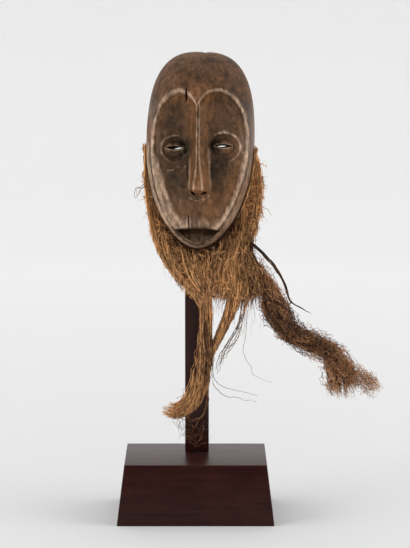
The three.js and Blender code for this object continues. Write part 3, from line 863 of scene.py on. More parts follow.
def cutters():
    """Bars for the carved slits, the nostrils, the cracks and the tie holes."""
    bars = [notch_cutter(eye["slit_x"], eye["slit_z"], SLIT_HALF_LENGTH, SLIT_HALF_HEIGHT, SLIT_DEPTH)
            for eye in EYES]
    for nostril in NOSTRILS:
        bars.append(notch_cutter(nostril["x"], nostril["z"], NOSTRIL_HALF_LENGTH, NOSTRIL_HALF_HEIGHT,
                                 NOSTRIL_DEPTH, math.radians(nostril["turn"])))
    for crack in CRACKS:
        bars.append(notch_cutter(crack["x"], crack["z"], crack["half_length"], crack["half_width"],
                                 crack["depth"], math.pi / 2, CRACK_WANDER))
    bars += [tie_hole_cutter(index) for index in range(TIE_HOLES)]
    return together("cutters", bars)


def stroke(x, z, start, end, width):
    """1 on a short line from one place to another, falling away by about its width."""
    dx, dz = end[0] - start[0], end[1] - start[1]
    share = np.clip(((x - start[0]) * dx + (z - start[1]) * dz) / (dx * dx + dz * dz), 0, 1)
    return hill(np.hypot(x - start[0] - share * dx, z - start[1] - share * dz), 0, width)


def worn_heart(x, z, inward, left):
    """The heart's edge, the strips along the jaw, the low cheeks and above the mouth, most on the left."""
    low = smooth(95, 60, z)
    beside_lobes = smooth(112, 104, z)
    lobe_width = mix(mix(1.2, 1.8, left), 1.0, beside_lobes)
    lobe_band = hill(inward, mix(1.2, 1.0, beside_lobes), lobe_width) * mix(0.85, 0.65, low)
    lobe_band = lobe_band * mix(1, 0.8, beside_lobes * left)
    right_reach = mix(4.0, 4.6, smooth(50, 15, z))
    left_reach = mix(1.8, 8.0, smooth(77, 51, z))
    jaw_reach = mix(right_reach, left_reach, left) + 0.7 * ripple(x, z, 16)
    fade = mix(1.2, mix(1.2, 2.6, smooth(77, 60, z)), left)
    jaw_band = low * smooth(-0.1, 0.8, inward) * smooth(jaw_reach + fade, jaw_reach - fade, inward)
    jaw_band = jaw_band * mix(0.52, 1.03, left)
    lip_band = low * smooth(-1.0, -2.0, inward) * mix(0.25, 0.6, left)
    low_cheek = smooth(38, 20, z) * smooth(15, 22, z) * smooth(14, 2, inward) * mix(0.3, 0.6, left)
    above_mouth = 0.4 * hill(z, 19, 4.5) * hill(x, -2, 13)
    return lobe_band + jaw_band + lip_band + low_cheek + above_mouth


def worn_nose(x, z, left):
    """The edges of the nose's facet, a little of the facet itself, and the foot of the flanks."""
    up, off, facet, half = nose_shape(x, z)
    on_nose = smooth(NOSE_TIP - 1.5, NOSE_TIP, z) * smooth(NOSE_TOP + 2, NOSE_TOP - 3, z)
    facet_edges = on_nose * hill(off, facet, mix(0.7, 0.45, smooth(0, 0.4, up))) * mix(0.7, 0.4, up)
    facet_high = 0.12 * on_nose * smooth(facet + 0.2, facet - 0.2, off) * smooth(66, 76, z)
    facet_tip = 0.12 * on_nose * smooth(facet + 0.6, facet - 0.2, off) * smooth(56, 46, z)
    foot_fades = smooth(mix(82, 72, left), mix(66, 56, left), z)
    foot = mix(0.65, 0.5, left) * hill(off, half - 0.3, 0.8) * foot_fades * smooth(43, 47, z)
    return facet_edges + facet_high + facet_tip + foot


def worn_eye(eye, x, z):
    """One side of the socket's rim, the edges of the slit and the lid round it."""
    turn = nearest_turn(np.arctan2(x - eye["x"], z - eye["z"]) - eye["ring_towards"])
    ring = hill(socket_reach(eye, x, z), SOCKET_RIM_AT, 0.075) * mix(0.12, 1, smooth(1.9, 0.6, np.abs(turn)))
    across = np.abs(x - eye["slit_x"]) / SLIT_HALF_LENGTH
    above = z - eye["slit_z"]
    edge = SLIT_HALF_HEIGHT * np.maximum(1 - across**2, 0)
    slit = mix(0.35, 0.8, smooth(1, -1, above)) * hill(np.abs(above), edge + 0.3, 0.45)
    lid = 0.12 * smooth(1.0, 0.7, lid_reach(eye, x, z))
    return eye["ring_worn"] * ring + slit * smooth(1.12, 0.98, across) + lid


def worn_places(x, z, inward):
    """Where handling has worn the wood pale."""
    left = smooth(6, -6, x)
    worn = worn_heart(x, z, inward, left) + worn_nose(x, z, left)
    for eye in EYES:
        worn = worn + worn_eye(eye, x, z)
    for start, end, width in SCRATCHES:
        worn = worn + 0.5 * stroke(x, z, start, end, width)
    return np.clip(worn, 0, 1)


# Patches on the face: x, z, half width, half height and strength
SOOT_PATCHES = (
    (-20, 90, 13, 8, 0.4), (-20, 62, 9, 9, 0.3), (-14, 50, 8, 14, 0.6), (-9, 72, 4, 8, 0.8),
    (-28, 90, 6, 9, 0.4), (21, 65, 11, 4, 0.5), (16, 57, 6, 11, 0.6), (27, 89, 7, 6, 0.35),
    (0, 39, 6, 2.5, 0.6), (11, 88, 4, 6, 0.5),
)
WARM_PATCHES = (
    (1, 116, 11, 6, 0.45), (7, 102, 6, 10, 0.5), (-7, 102, 5, 9, 0.4), (25, 48, 9, 16, 0.8),
    (11, 30, 12, 11, 0.8), (-8, 124, 20, 6, 0.2), (30, 68, 6, 14, 0.6), (-16, 72, 5, 5, 0.4),
    (20, 76, 6, 5, 0.5), (0, 48, 4, 5, 1.2), (-19, 112, 8, 5, 0.6), (-8, 92, 5, 14, 0.8),
    (6, 96, 4, 12, 0.6), (7, 37, 6, 5, 0.8),
)


def patched(x, z, patches):
    """How much the patches cover a place, up to 1."""
    cover = 0
    for middle_x, middle_z, half_width, half_height, strength in patches:
        cover = cover + strength * hill(x, middle_x, half_width) * hill(z, middle_z, half_height)
    return np.clip(cover, 0, 1)


def eye_corners(x, z):
    """The inner corners of the two sockets, painted dark as shade beside the nose."""
    total = 0
    for eye in EYES:
        corner_x = eye["x"] + 0.6 * eye["nose_side"] * eye["half_width"]
        total = total + hill(x, corner_x, 4) * hill(z, eye["z"] + 1, 5)
    return total


def paint_mask(mesh, places):
    """Writes where the wood is worn pale, dark with residue or painted shade, warm, matt, or the bare inside
    of the hollow.
    """
    x, depth, z = places[:, 0], -places[:, 1], places[:, 2]
    radius, angle = polar(x, z)
    reach = radius / outline_radius(angle)
    inward = heart_radius(angle) - radius
    sunk = carved_depth(x, z) - depth
    hollow = hollow_depth(x, z)
    is_front = smooth(0.5, -0.5, np.abs(sunk) - np.abs(depth - hollow))
    is_front = is_front * smooth(0.2, 3, depth + 3 * (z < 10))
    cut = smooth(0.35, 0.9, sunk) * (depth > hollow + 0.3)
    mouth = smooth(0.2, 1.2, mouth_inside(x, z))
    _, off, _, half = nose_shape(x, z)
    flank = smooth(half + 1, half - 1.5, off) * smooth(NOSE_BASE - 1, NOSE_BASE + 1, z) * smooth(112, 104, z)
    corners = eye_corners(x, z)
    wall = smooth(0.975, 0.995, reach) * smooth(80, 66, z)

    soot_and_shade = patched(x, z, SOOT_PATCHES) * smooth(1.5, 6, inward) * (1 - 0.85 * flank)
    # On top of the residue patches: a darker line along the groove, and painted shade on the low side wall
    # and in the sockets' inner corners
    groove = hill(inward, -GROOVE_OUTSIDE, 0.7) * smooth(95, 60, z)
    soot_and_shade = np.clip(soot_and_shade + 0.6 * groove + 0.9 * wall + 1.7 * corners, 0, 1) * is_front
    # The inside of every cut is painted dark as shade
    add_values(mesh, "soot_and_shade", np.maximum(soot_and_shade, cut))

    low_flank = flank * mix(0.15, 0.75, smooth(90, 55, z)) * mix(1, 0.6, smooth(2, -2, x))
    warm = np.clip(patched(x, z, WARM_PATCHES) + low_flank, 0, 1)
    add_values(mesh, "warm", warm * is_front * (1 - mouth))

    worn = worn_places(x, z, inward) * (1 - mouth) + 0.24 * mouth * smooth(14, 9, z)
    add_values(mesh, "worn", worn * is_front * (1 - cut))

    lobes = 0.7 * smooth(1.5, 3, inward) * smooth(12, 6, inward) * smooth(84, 92, z)
    left_side = 0.9 * smooth(0.88, 0.97, reach) * smooth(0, -10, x) * smooth(102, 90, z)
    forehead = 0.5 * smooth(100, 116, z)
    matt = np.maximum.reduce([wall, lobes, left_side, forehead, np.minimum(corners, 1)])
    add_values(mesh, "matt", matt)
    add_values(mesh, "bare", (1 - is_front) * (1 - cut))


def scaled(colour, factor):
    return [factor * part for part in colour]


def mask_wood():
    settings = bpy.context.scene.mask_settings
    look = Shader("carved_wood")
    streaks = look.noise((600, 600, 40), detail=3)
    fine = look.noise((1800, 1800, 120), detail=2)
    mottle = look.noise((60, 60, 40), detail=6, roughness=0.65)
    patches = look.noise((190, 190, 140), detail=5, roughness=0.7)
    blotches = look.noise((330, 330, 170), detail=3)
    specks = look.noise((900, 900, 700), detail=3)

    base = look.blend(scaled(settings.wood, 0.35), scaled(settings.wood, 1.3), look.ramp(mottle, 0.36, 0.64))
    light = look.times(look.ramp(streaks, 0.45, 0.75), look.ramp(patches, 0.42, 0.66, 0.1, 0.8))
    base = look.blend(base, scaled(settings.wood, 1.9), light)
    warm = look.times(look.attribute("warm"), look.ramp(patches, 0.32, 0.62, 0.35, 1.0))
    base = look.blend(base, settings.warm, warm)
    # Dark residue with dusty patches, also laid as painted shade in the corners, the cuts and on the low side
    # wall
    dusty = look.blend(settings.soot_and_shade, settings.dust, look.ramp(patches, 0.45, 0.66, 0.0, 0.9))
    soot_and_shade = look.times(look.attribute("soot_and_shade"), look.ramp(mottle, 0.35, 0.6, 1.0, 0.7))
    base = look.blend(base, dusty, soot_and_shade)
    worn = look.plus(look.attribute("worn"), look.ramp(blotches, 0.3, 0.7, -0.2, 0.2))
    worn = look.times(look.ramp(worn, 0.0, 1.1), look.ramp(look.attribute("worn"), 0.0, 0.25))
    worn = look.times(worn, look.ramp(streaks, 0.35, 0.6, 0.7, 1.0))
    pale = look.blend(scaled(settings.worn, 0.8), scaled(settings.worn, 1.15), look.ramp(fine, 0.35, 0.65))
    base = look.blend(base, pale, worn)
    raw = look.blend(settings.wood, scaled(settings.wood, 2.1), look.ramp(streaks, 0.3, 0.7))
    base = look.blend(base, raw, look.attribute("bare"))
    shade = look.times(look.ramp(specks, 0.32, 0.68, 0.75, 1.2), look.ramp(blotches, 0.35, 0.65, 0.7, 1.3))
    base = look.blend(base, shade, 1.0, "MULTIPLY")

    rough = look.ramp(mottle, 0.3, 0.7, 0.34, 0.48)
    for name, rise in (("soot_and_shade", 0.3), ("bare", 0.35), ("matt", 0.3)):
        rough = look.plus(rough, look.times(look.attribute(name), rise))
    gloss = look.ramp(look.attribute("matt"), 0, 1, 0.24, 0.0)
    look.set(Base_Color=base, Roughness=rough, Specular_IOR_Level=gloss)
    look.bump(look.plus(look.times(streaks, 0.6), look.times(specks, 0.6)), 0.00035, 0.5)
    return look.material


class CarveMask(bpy.types.Operator):
    """Carves the mask: domed block, heart-shaped field, nose, eyes, mouth, cracks and tie holes"""

    bl_idname = "heart_mask.carve_mask"
    bl_label = "Carve mask"

    def execute(self, context):
        shell = linked("mask_carved", mask_shell())
        bars = (cutters(), gap_cutters())
        for bar in bars:
            cut = shell.modifiers.new(bar.name, "BOOLEAN")
            cut.object = bar
            cut.operation = "DIFFERENCE"
            cut.solver = "MANIFOLD"
        mesh = evaluated("mask_carved", shell)
        for bar in bars:
            bpy.data.objects.remove(bar)
        places = get_places(mesh)
        paint_mask(mesh, places)
        set_places(mesh, to_world(places) * MM)
        mesh.shade_smooth()
        mesh.set_sharp_from_angle(angle=math.radians(MASK_SHARP_FROM))
        piece = linked("mask_carved", mesh)
        finish_piece(piece, mask_wood(), "mask_wood", "mask")
        return {"FINISHED"}


# Fibres

# A fibre has a ring of three corners at each of its places. The rings are turned by a direction, nearly front
# to back, along which hardly any fibre runs.
FIBRE_SIDES = 3
RARE_WAY = (0.12, 1.0, 0.07)
THICKNESS_SPREAD = 0.35
CLUMP_TONE_SPREAD = 0.3


def fibre_mesh(name, count, steps):
    """Fibres one after another, each a closed prism from z = -0.5 to 0.5 with a ring at every step."""
    bm = bmesh.new()
    bmesh.ops.create_cone(bm, cap_ends=True, segments=FIBRE_SIDES, radius1=1, radius2=1, depth=1)
    upright = [edge for edge in bm.edges if abs(edge.verts[0].co.z - edge.verts[1].co.z) > 0.5]
    bmesh.ops.subdivide_edges(bm, edges=upright, cuts=steps - 1, use_grid_fill=True)
    fibre = linked(name, to_mesh(name, bm))
    repeat = fibre.modifiers.new("Repeat", "ARRAY")
    repeat.use_relative_offset = False
    repeat.count = count
    return evaluated(name, fibre)


def lay_fibres(name, paths, radii, tones):
    """One mesh of fibres along the given paths. A path has one tone, or one for each of its places."""
    count, places = paths.shape[:2]
    steps = places - 1
    mesh = fibre_mesh(name, count, steps)
    template = get_places(mesh).reshape(count, -1, 3)[0]
    ring = np.rint((template[:, 2] + 0.5) * steps).astype(int)
    way = unit(np.gradient(paths, axis=1))
    across = unit(np.cross(RARE_WAY, way))
    deep = np.cross(way, across)
    offset = template[None, :, :1] * across[:, ring] + template[None, :, 1:2] * deep[:, ring]
    laid = paths[:, ring] + radii[:, ring, None] * offset
    set_places(mesh, laid.reshape(-1, 3) * MM)
    tones = tones if tones.ndim == 2 else np.repeat(tones[:, None], places, axis=1)
    add_values(mesh, "tone", tones[:, ring])
    mesh.shade_smooth()
    return linked(name, mesh)


def crimp(paths, rng, size, length, grows=0.5):
    """Waves across each fibre, of about that size and length, growing towards the tip."""
    count, places = paths.shape[:2]
    steps = np.linalg.norm(np.diff(paths, axis=1), axis=2)
    reached = np.concatenate([np.zeros((count, 1)), np.cumsum(steps, axis=1)], axis=1)
    share = np.linspace(0, 1, places)[None]
    strength = size * mix(1 - grows, 1, share) * rng.uniform(0.4, 1.5, (count, 1))
    shift = np.zeros_like(paths)
    for axis in range(3):
        for order, weight in ((1.0, 1.0), (2.3, 0.4)):
            phase = rng.uniform(0, 2 * math.pi, (count, 1))
            wave = order / length * rng.uniform(0.7, 1.4, (count, 1))
            shift[:, :, axis] += weight * np.sin(2 * math.pi * reached * wave + phase)
    shift -= shift[:, :1]
    return paths + shift * strength[:, :, None]


def clumped(guides, tones, rng, each, reach):
    """So many fibres round each guide, closer together at the root, with nearly the guide's tone."""
    count, places = len(guides) * each, guides.shape[1]
    share = np.linspace(0, 1, places)[None, :, None]
    aside = rng.normal(0, 0.55 * reach, (count, 1, 3))
    drift = rng.normal(0, 0.45 * reach, (count, 1, 3))
    fibres = np.repeat(guides, each, axis=0) + aside * mix(0.5, 1, share) + drift * share
    return fibres, np.clip(np.repeat(tones, each) + rng.normal(0, CLUMP_TONE_SPREAD, count), 0, 1)


def trimmed(paths, rng, shortest):
    """The same paths, each cut off at its own share of the length and laid out afresh."""
    count, places = paths.shape[:2]
    kept = rng.uniform(shortest, 1, (count, 1))
    place = np.linspace(0, 1, places)[None] * kept * (places - 1)
    first = np.minimum(place.astype(int), places - 2)
    part = (place - first)[..., None]
    rows = np.arange(count)[:, None]
    return paths[rows, first] * (1 - part) + paths[rows, first + 1] * part


def thin_ends(rng, count, steps, radius, tip=0.35):
    """Radii of fibres that differ in thickness and thin towards the tip."""
    share = np.linspace(0, 1, steps + 1)[None]
    own = radius * rng.uniform(1 - THICKNESS_SPREAD, 1 + THICKNESS_SPREAD, (count, 1))
    return own * mix(1, tip, smooth(0.6, 1, share)) * mix(0.7, 1, smooth(0, 0.1, share))


def keep_outside_mask(paths, margin):
    """Pushes fibres out of the mask's block, sideways from the face's centre, each by its own margin."""
    local = to_mask(paths)
    x, depth, z = local[..., 0], -local[..., 1], local[..., 2]
    radius, angle = polar(x, z)
    outline = outline_radius(angle) + margin[:, None]
    inside = (radius < outline) & (depth > -0.6) & (depth < skin_depth(x * 0.97, z) + 0.6)
    outer_x, outer_z = across_and_up(outline, angle)
    local[..., 0] = np.where(inside, outer_x, x)
    local[..., 2] = np.where(inside, outer_z, z)
    return to_world(local)


def keep_before_post(paths, rng):
    """Keeps fibres from running through the post."""
    low, high = (Vector(corner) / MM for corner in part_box("post"))
    x, y = paths[..., 0], paths[..., 1]
    shallow = rng.uniform(0.3, 1.6, (paths.shape[0], 1))
    meets = (x > low.x - 0.5) & (x < high.x + 0.5) & (y > low.y - shallow) & (y < high.y)
    paths[..., 1] = np.where(meets, low.y - shallow, y)
    return paths


def beside_block(angle, outside, depth):
    """Places so far outside the block's outline and in front of its rear edge."""
    x, z = across_and_up(outline_radius(angle) + outside, angle)
    return to_world(np.stack([x, np.broadcast_to(-depth, x.shape), z], axis=-1))


def ruff_point(across, down):
    """Middle of the ruff's curtain, by shares of the way from left to right and from the holes to its hem."""
    angle = np.radians(mix(LOCK_FIRST_ANGLE, LOCK_LAST_ANGLE, across))
    root = beside_block(angle, LOCK_ROOT_OUTSIDE, LOCK_ROOT_DEPTH)
    left = 1 - np.minimum(2 * across, 1)
    right = np.maximum(0, 2 * across - 1)
    middle = np.array(RUFF_MIDDLE_END, float)
    end = middle + left[..., None] * (np.array(RUFF_LEFT_END) - middle)
    end = end + right[..., None] * (np.array(RUFF_RIGHT_END) - middle)
    swell = np.sin(np.clip(down, 0, 1) ** 1.4 * math.pi)
    spring = smooth(0, LOCK_SPRING_BY, down) * np.maximum(1 - down, 0)
    place = mix(root, end, down[..., None])
    place[..., 0] += LOCK_SPRING * spring * np.sin(angle) - RUFF_LEFT_SWELL * left * swell
    place[..., 0] -= RUFF_RIGHT_WAIST * right * hill(down, RUFF_WAIST_AT, RUFF_WAIST_SPREAD)
    place[..., 2] -= RUFF_LEFT_SAG * left * swell
    return place


def ruff_thickness(down):
    return RUFF_HALF_THICKNESS * mix(0.6, 1, smooth(0, 0.35, down)) * mix(1, 0.7, smooth(0.6, 1, down))


def inside_curtain(points, slack):
    """Draws places back between the ruff's left and right edges, give or take a little."""
    down = np.linspace(0, 1, 30)
    for side, sign in ((0.0, -1), (1.0, 1)):
        edge = ruff_point(np.full(30, side), down)
        limit = sign * np.interp(-points[..., 2], -edge[:, 2], edge[:, 0]) + slack
        over = np.maximum(sign * points[..., 0] - limit, 0)
        points[..., 0] -= sign * 0.8 * over
    return points


def hem_share(across):
    """How far down the curtain its hem lies: lower towards the right, and a little uneven."""
    return 1.02 + 0.08 * smooth(0.64, 0.9, across) + 0.02 * np.sin(31 * across)


def hanging_paths(rng, count, steps, across, ends, layers=(-1, 1)):
    """Fibres that hang from the tie holes down through the curtain, to a share of the way to its hem."""
    start = rng.uniform(*across, (count, 1))
    end = rng.uniform(*ends, (count, 1)) * hem_share(start)
    down = np.linspace(0, 1, 7)[None] * end
    wander = rng.normal(0, 0.03, (count, 1)) * down + rng.normal(0, 0.01, (count, 7)) * down
    points = ruff_point(np.clip(start + wander, 0, 1), down)
    layer = rng.uniform(*layers, (count, 1))
    points[..., 1] += layer * ruff_thickness(down) + rng.normal(0, 0.4, (count, 7)) * down
    return through(points, steps)


def sweeping_paths(rng, count, steps, layers):
    """Fibres from the left jaw that gather into the top of the long tress."""
    start = SWEEP_ENDS_AT * rng.uniform(0, 1, (count, 1)) ** 1.3
    down = np.linspace(0, 0.86, 5)[None]
    points = ruff_point(start + 0 * down, down + 0 * start)
    points[..., 0] -= 6 * hill(start, 0.28, 0.2) * np.sin(math.pi * down**1.4)
    layer = rng.uniform(*layers, (count, 1))
    points[..., 1] += layer * ruff_thickness(down)
    share = np.array([[0.1, 0.2, 0.32]]) * rng.uniform(0.75, 1.3, (count, 1))
    tress = along_line(LONG_TRESS["points"], share)
    tress[..., 0] += mix(-SWEEP_HALF_WIDTH, SWEEP_HALF_WIDTH, start / SWEEP_ENDS_AT)
    tress[..., 0] += rng.normal(0, 0.8, (count, 1))
    tress[..., 1] += layer * 4
    return through(np.concatenate([points, tress], axis=1), steps)


def tangle_paths(rng, count, steps, across, stride=(1.5, 3.4), slack=1.0):
    """Short loose fibres that wander over the front of the ruff."""
    start = rng.uniform(*across, count)
    down = rng.uniform(0.06, 0.92, count) * hem_share(start)
    heading = rng.normal(0, 1.0, count) + np.where(start < 0.45, 0.7, -0.05)
    bend = rng.normal(0, 0.8, count)
    reach = rng.uniform(*stride, count)
    place = ruff_point(start, down)
    place[:, 1] -= rng.uniform(0.3, 1.2, count) * ruff_thickness(down)
    points = [place]
    for _ in range(5):
        step = np.stack([np.sin(heading), rng.normal(0, 0.15, count), -np.cos(heading)], axis=1)
        place = place + step * reach[:, None]
        points.append(place)
        heading = 0.85 * heading + bend * rng.uniform(0.2, 0.9, count)
    points = np.stack(points, axis=1)
    hem = RUFF_MIDDLE_END[2] + 1
    points[..., 2] = np.maximum(points[..., 2], hem + 0.3 * (points[..., 2] - hem))
    return through(inside_curtain(points, slack), steps)


def binding_paths(rng, count, steps):
    """Fibres laid along the jaw close against the wood, over the roots of the others."""
    along = np.linspace(0, 1, steps + 1)[None]
    first = mix(TIE_HOLE_FIRST_ANGLE, TIE_HOLE_LAST_ANGLE, rng.uniform(0, 1, (count, 1)))
    span = rng.choice([-1, 1], (count, 1)) * rng.uniform(14, 30, (count, 1))
    angle = np.radians(np.clip(first + span * along, TIE_HOLE_LAST_ANGLE, TIE_HOLE_FIRST_ANGLE))
    outside = rng.uniform(0.1, 1.8, (count, 1))
    depth = rng.uniform(1.5, 11, (count, 1)) + rng.uniform(-2, 2, (count, 1)) * along
    return beside_block(angle, outside, np.maximum(depth, 0.8))


def tuft_paths(rng, count, steps):
    """Short dark ends that stick up from the first and last tie holes."""
    side = rng.choice([-1, 1], count)
    x = side * (MASK_HALF_WIDTH + rng.uniform(0.4, 1.8, count))
    z = WIDEST_LEVEL + rng.uniform(-4, -1, count)
    foot = np.stack([x, rng.uniform(-8, -3, count), z], axis=-1)
    aside = side * rng.uniform(-0.2, 0.8, count)
    rise = np.stack([aside, rng.normal(0, 1, count), rng.uniform(2, 4.5, count)], axis=-1)
    bow = np.stack([side * 0.8, 0 * side, 0 * side], axis=-1)
    return through(to_world(np.stack([foot, foot + 0.5 * rise + bow, foot + rise], axis=1)), steps)


def ruff_tone_and_shade(paths):
    """How much lighter or darker the ruff's fibres are by their place: painted shade deep inside and along
    the jaw.
    """
    local = to_mask(paths)
    radius, angle = polar(local[..., 0], local[..., 2])
    x, y, z = paths[..., 0], paths[..., 1], paths[..., 2]
    # Painted shade along the jaw
    jaw = smooth(4.5, 0.8, radius - outline_radius(angle)) * smooth(258, 235, z)
    fan = smooth(30, 42, x) * smooth(215, 200, z)
    hem = smooth(186, 172, z) * (1 - fan) * mix(-0.25, 0.2, smooth(6, 14, x))
    # Painted shade deep inside: fibres in front are lighter
    front = 0.6 * smooth(-3, -13, y)
    high = 0.35 * smooth(212, 240, z) + 0.3 * smooth(25, 32, x) * smooth(222, 236, z)
    left = 0.3 * smooth(-15, -25, x) * smooth(195, 205, z)
    return front + high + left + hem - 0.45 * (jaw + fan) - 0.04 + 0.15 * ripple(x, z, 5)


def read_along(values, share):
    """A row of evenly spaced values, read at a share of the way along."""
    return np.interp(share, np.linspace(0, 1, len(values)), values)


def bundle_paths(rng, count, steps, line, starts, spans, twist=0.8, fill=1.0):
    """Fibres side by side in a hanging part, each from a start and over a span given as shares of it."""
    start = rng.uniform(*starts, (count, 1))
    end = np.minimum(start + rng.uniform(*spans, (count, 1)), 1 - rng.uniform(0, 0.1, (count, 1)))
    share = mix(start, end, np.linspace(0, 1, steps + 1)[None])
    middle = along_line(line["points"], share)
    way = unit(along_line(line["points"], share + 0.01) - middle)
    across = unit(np.cross([0, 1, 0], way))
    deep = np.cross(across, way)
    out = fill * np.sqrt(rng.uniform(0, 1, (count, 1)))
    turn = rng.uniform(0, 2 * math.pi, (count, 1)) + twist * share * 2 * math.pi
    wide = read_along(line["across"], share) * out * np.cos(turn)
    thick = read_along(line["deep"], share) * out * np.sin(turn)
    return middle + across * wide[..., None] + deep * thick[..., None]


# The ruff's pieces from back to front: places along a fibre, thickness, and groups of fibres. A group has its
# maker with its values, its share of the ruff's fibres with the number and the reach of a clump, the middle
# and the spread of its tone, the size and the length of its waves, and the shortest share a fibre is cut to.
RUFF_PIECES = {
    # The backing and the binding fibres have near-black tones: painted shade deep in the ruff and in the gap
    # along the jaw
    "ruff_backing": (10, 2.2, (
        (hanging_paths, ((0.3, 1), (0.85, 1), (0, 1)), (0.08, 1, 0), (0.05, 0.12), (0.5, 9), 0.95),
        (sweeping_paths, ((0, 1),), (0.03, 1, 0), (0.1, 0.12), (0.4, 9), 0.6),
        (binding_paths, (), (0.03, 1, 0), (0.05, 0.1), (0.2, 9), 0.82),
    )),
    "ruff_curtain": (14, 1, (
        (hanging_paths, ((0.44, 0.85), (0.97, 1.05), (-0.7, 0.5)),
         (0.1, 2, 0.9), (0.35, 0.3), (0.9, 6), 0.96),
        (sweeping_paths, ((0, 1),), (0.06, 2, 0.7), (0.3, 0.3), (0.4, 9), 0.4),
        (sweeping_paths, ((-1.2, 0.1),), (0.17, 3, 0.6), (0.5, 0.45), (0.4, 9), 0.85),
        (hanging_paths, ((0.6, 1), (0.85, 1.04), (-1, 0.3)), (0.08, 3, 0.9), (0.55, 0.4), (0.9, 5), 0.82),
        (bundle_paths, (RIGHT_FAN, (-0.05, 0.25), (0.7, 1.05), 0.1),
         (0.07, 3, 0.7), (0.25, 0.3), (0.8, 5), 0.82),
    )),
    "ruff_tangle": (12, 0.85, (
        (hanging_paths, ((0.38, 0.85), (0.8, 1), (-1, 0)), (0.06, 2, 0.7), (0.5, 0.4), (1.1, 5), 0.82),
        (tangle_paths, ((0.22, 0.55),), (0.12, 2, 0.35), (0.5, 0.5), (0.5, 4), 0.82),
        (tangle_paths, ((0.5, 0.98),), (0.14, 2, 0.35), (0.5, 0.5), (0.5, 4), 0.82),
        (tangle_paths, ((0.02, 0.3), (1.2, 2.4), 1.5), (0.07, 2, 0.4), (0.6, 0.5), (0.6, 4), 0.82),
        (tangle_paths, ((0.84, 1), (1.2, 2.6), 2.5), (0.09, 2, 0.4), (0.7, 0.5), (0.7, 4), 0.82),
        # Near-black binding fibres: painted shade in the gap along the jaw
        (binding_paths, (), (0.06, 3, 0.3), (0.1, 0.1), (0.2, 9), 0.82),
        (tuft_paths, (), (0.015, 1, 0), (0, 0.05), (0.1, 9), 0.82),
    )),
}


class TieRuff(bpy.types.Operator):
    """Ties the ruff of golden fibre through the holes along the jaw"""

    bl_idname = "heart_mask.tie_ruff"
    bl_label = "Tie ruff"

    def execute(self, context):
        settings = context.scene.beard_settings
        rng = np.random.default_rng(RUFF_SEED)
        radius = settings.fibre_radius / MM
        for name, (steps, thickness, groups) in RUFF_PIECES.items():
            paths = []
            tones = []
            for make, values, (share, each, reach), tone, waves, shortest in groups:
                guides = make(rng, int(settings.ruff_fibres * share / each), steps, *values)
                fibres, own_tones = clumped(guides, rng.normal(*tone, len(guides)), rng, each, reach)
                paths.append(crimp(trimmed(fibres, rng, shortest), rng, *waves))
                tones.append(own_tones)
            paths = np.concatenate(paths)
            margin = rng.uniform(0.1, 0.8, len(paths))
            paths = keep_before_post(keep_outside_mask(paths, margin), rng)
            # Painted shade deep in the ruff and along the jaw is added to the tones
            tones = np.concatenate(tones)[:, None] + ruff_tone_and_shade(paths)
            radii = thin_ends(rng, len(paths), steps, thickness * radius)
            piece = lay_fibres(name, paths, radii, tones)
            finish_piece(piece, golden_fibre(), "golden_fibre", "beard_ruff")
        return {"FINISHED"}


class HangTresses(bpy.types.Operator):
    """Hangs the long tress that curls to the left and the short tress beside it"""

    bl_idname = "heart_mask.hang_tresses"
    bl_label = "Hang tresses"

    def execute(self, context):
        settings = context.scene.beard_settings
        rng = np.random.default_rng(TRESS_SEED)
        radius = settings.fibre_radius / MM
        material = golden_fibre()
        each = 4

        steps = 26
        guides = bundle_paths(rng, settings.tress_fibres // each, steps, LONG_TRESS, (-0.1, 0.2), (0.8, 1.1),
                              twist=0.4, fill=0.95)
        guides = crimp(guides, rng, 0.6, 16)
        paths, tones = clumped(guides, rng.normal(0.5, 0.45, len(guides)), rng, each, 0.5)
        paths = keep_before_post(crimp(paths, rng, 0.3, 9), rng)
        radii = thin_ends(rng, len(paths), steps, radius)
        # The curl at the low end is painted lighter: painted light where the left softbox falls on it
        tones = tones[:, None] + 0.7 * smooth(115, 84, paths[..., 2]) - 0.1
        long_piece = lay_fibres("long_tress_fibres", paths, radii, tones)
        finish_piece(long_piece, material, "golden_fibre", "beard_long_tress")

        steps = 24
        guides = bundle_paths(rng, 50, steps, SHORT_TRESS, (-0.15, 0.2), (0.6, 1.0), twist=0.4)
        paths, tones = clumped(guides, rng.normal(0.8, 0.35, len(guides)), rng, each, 0.5)
        paths = crimp(paths, rng, 0.45, 8)
        radii = thin_ends(rng, len(paths), steps, radius)
        short_piece = lay_fibres("short_tress_fibres", paths, radii, tones)
        finish_piece(short_piece, material, "golden_fibre", "beard_short_tress")
        return {"FINISHED"}


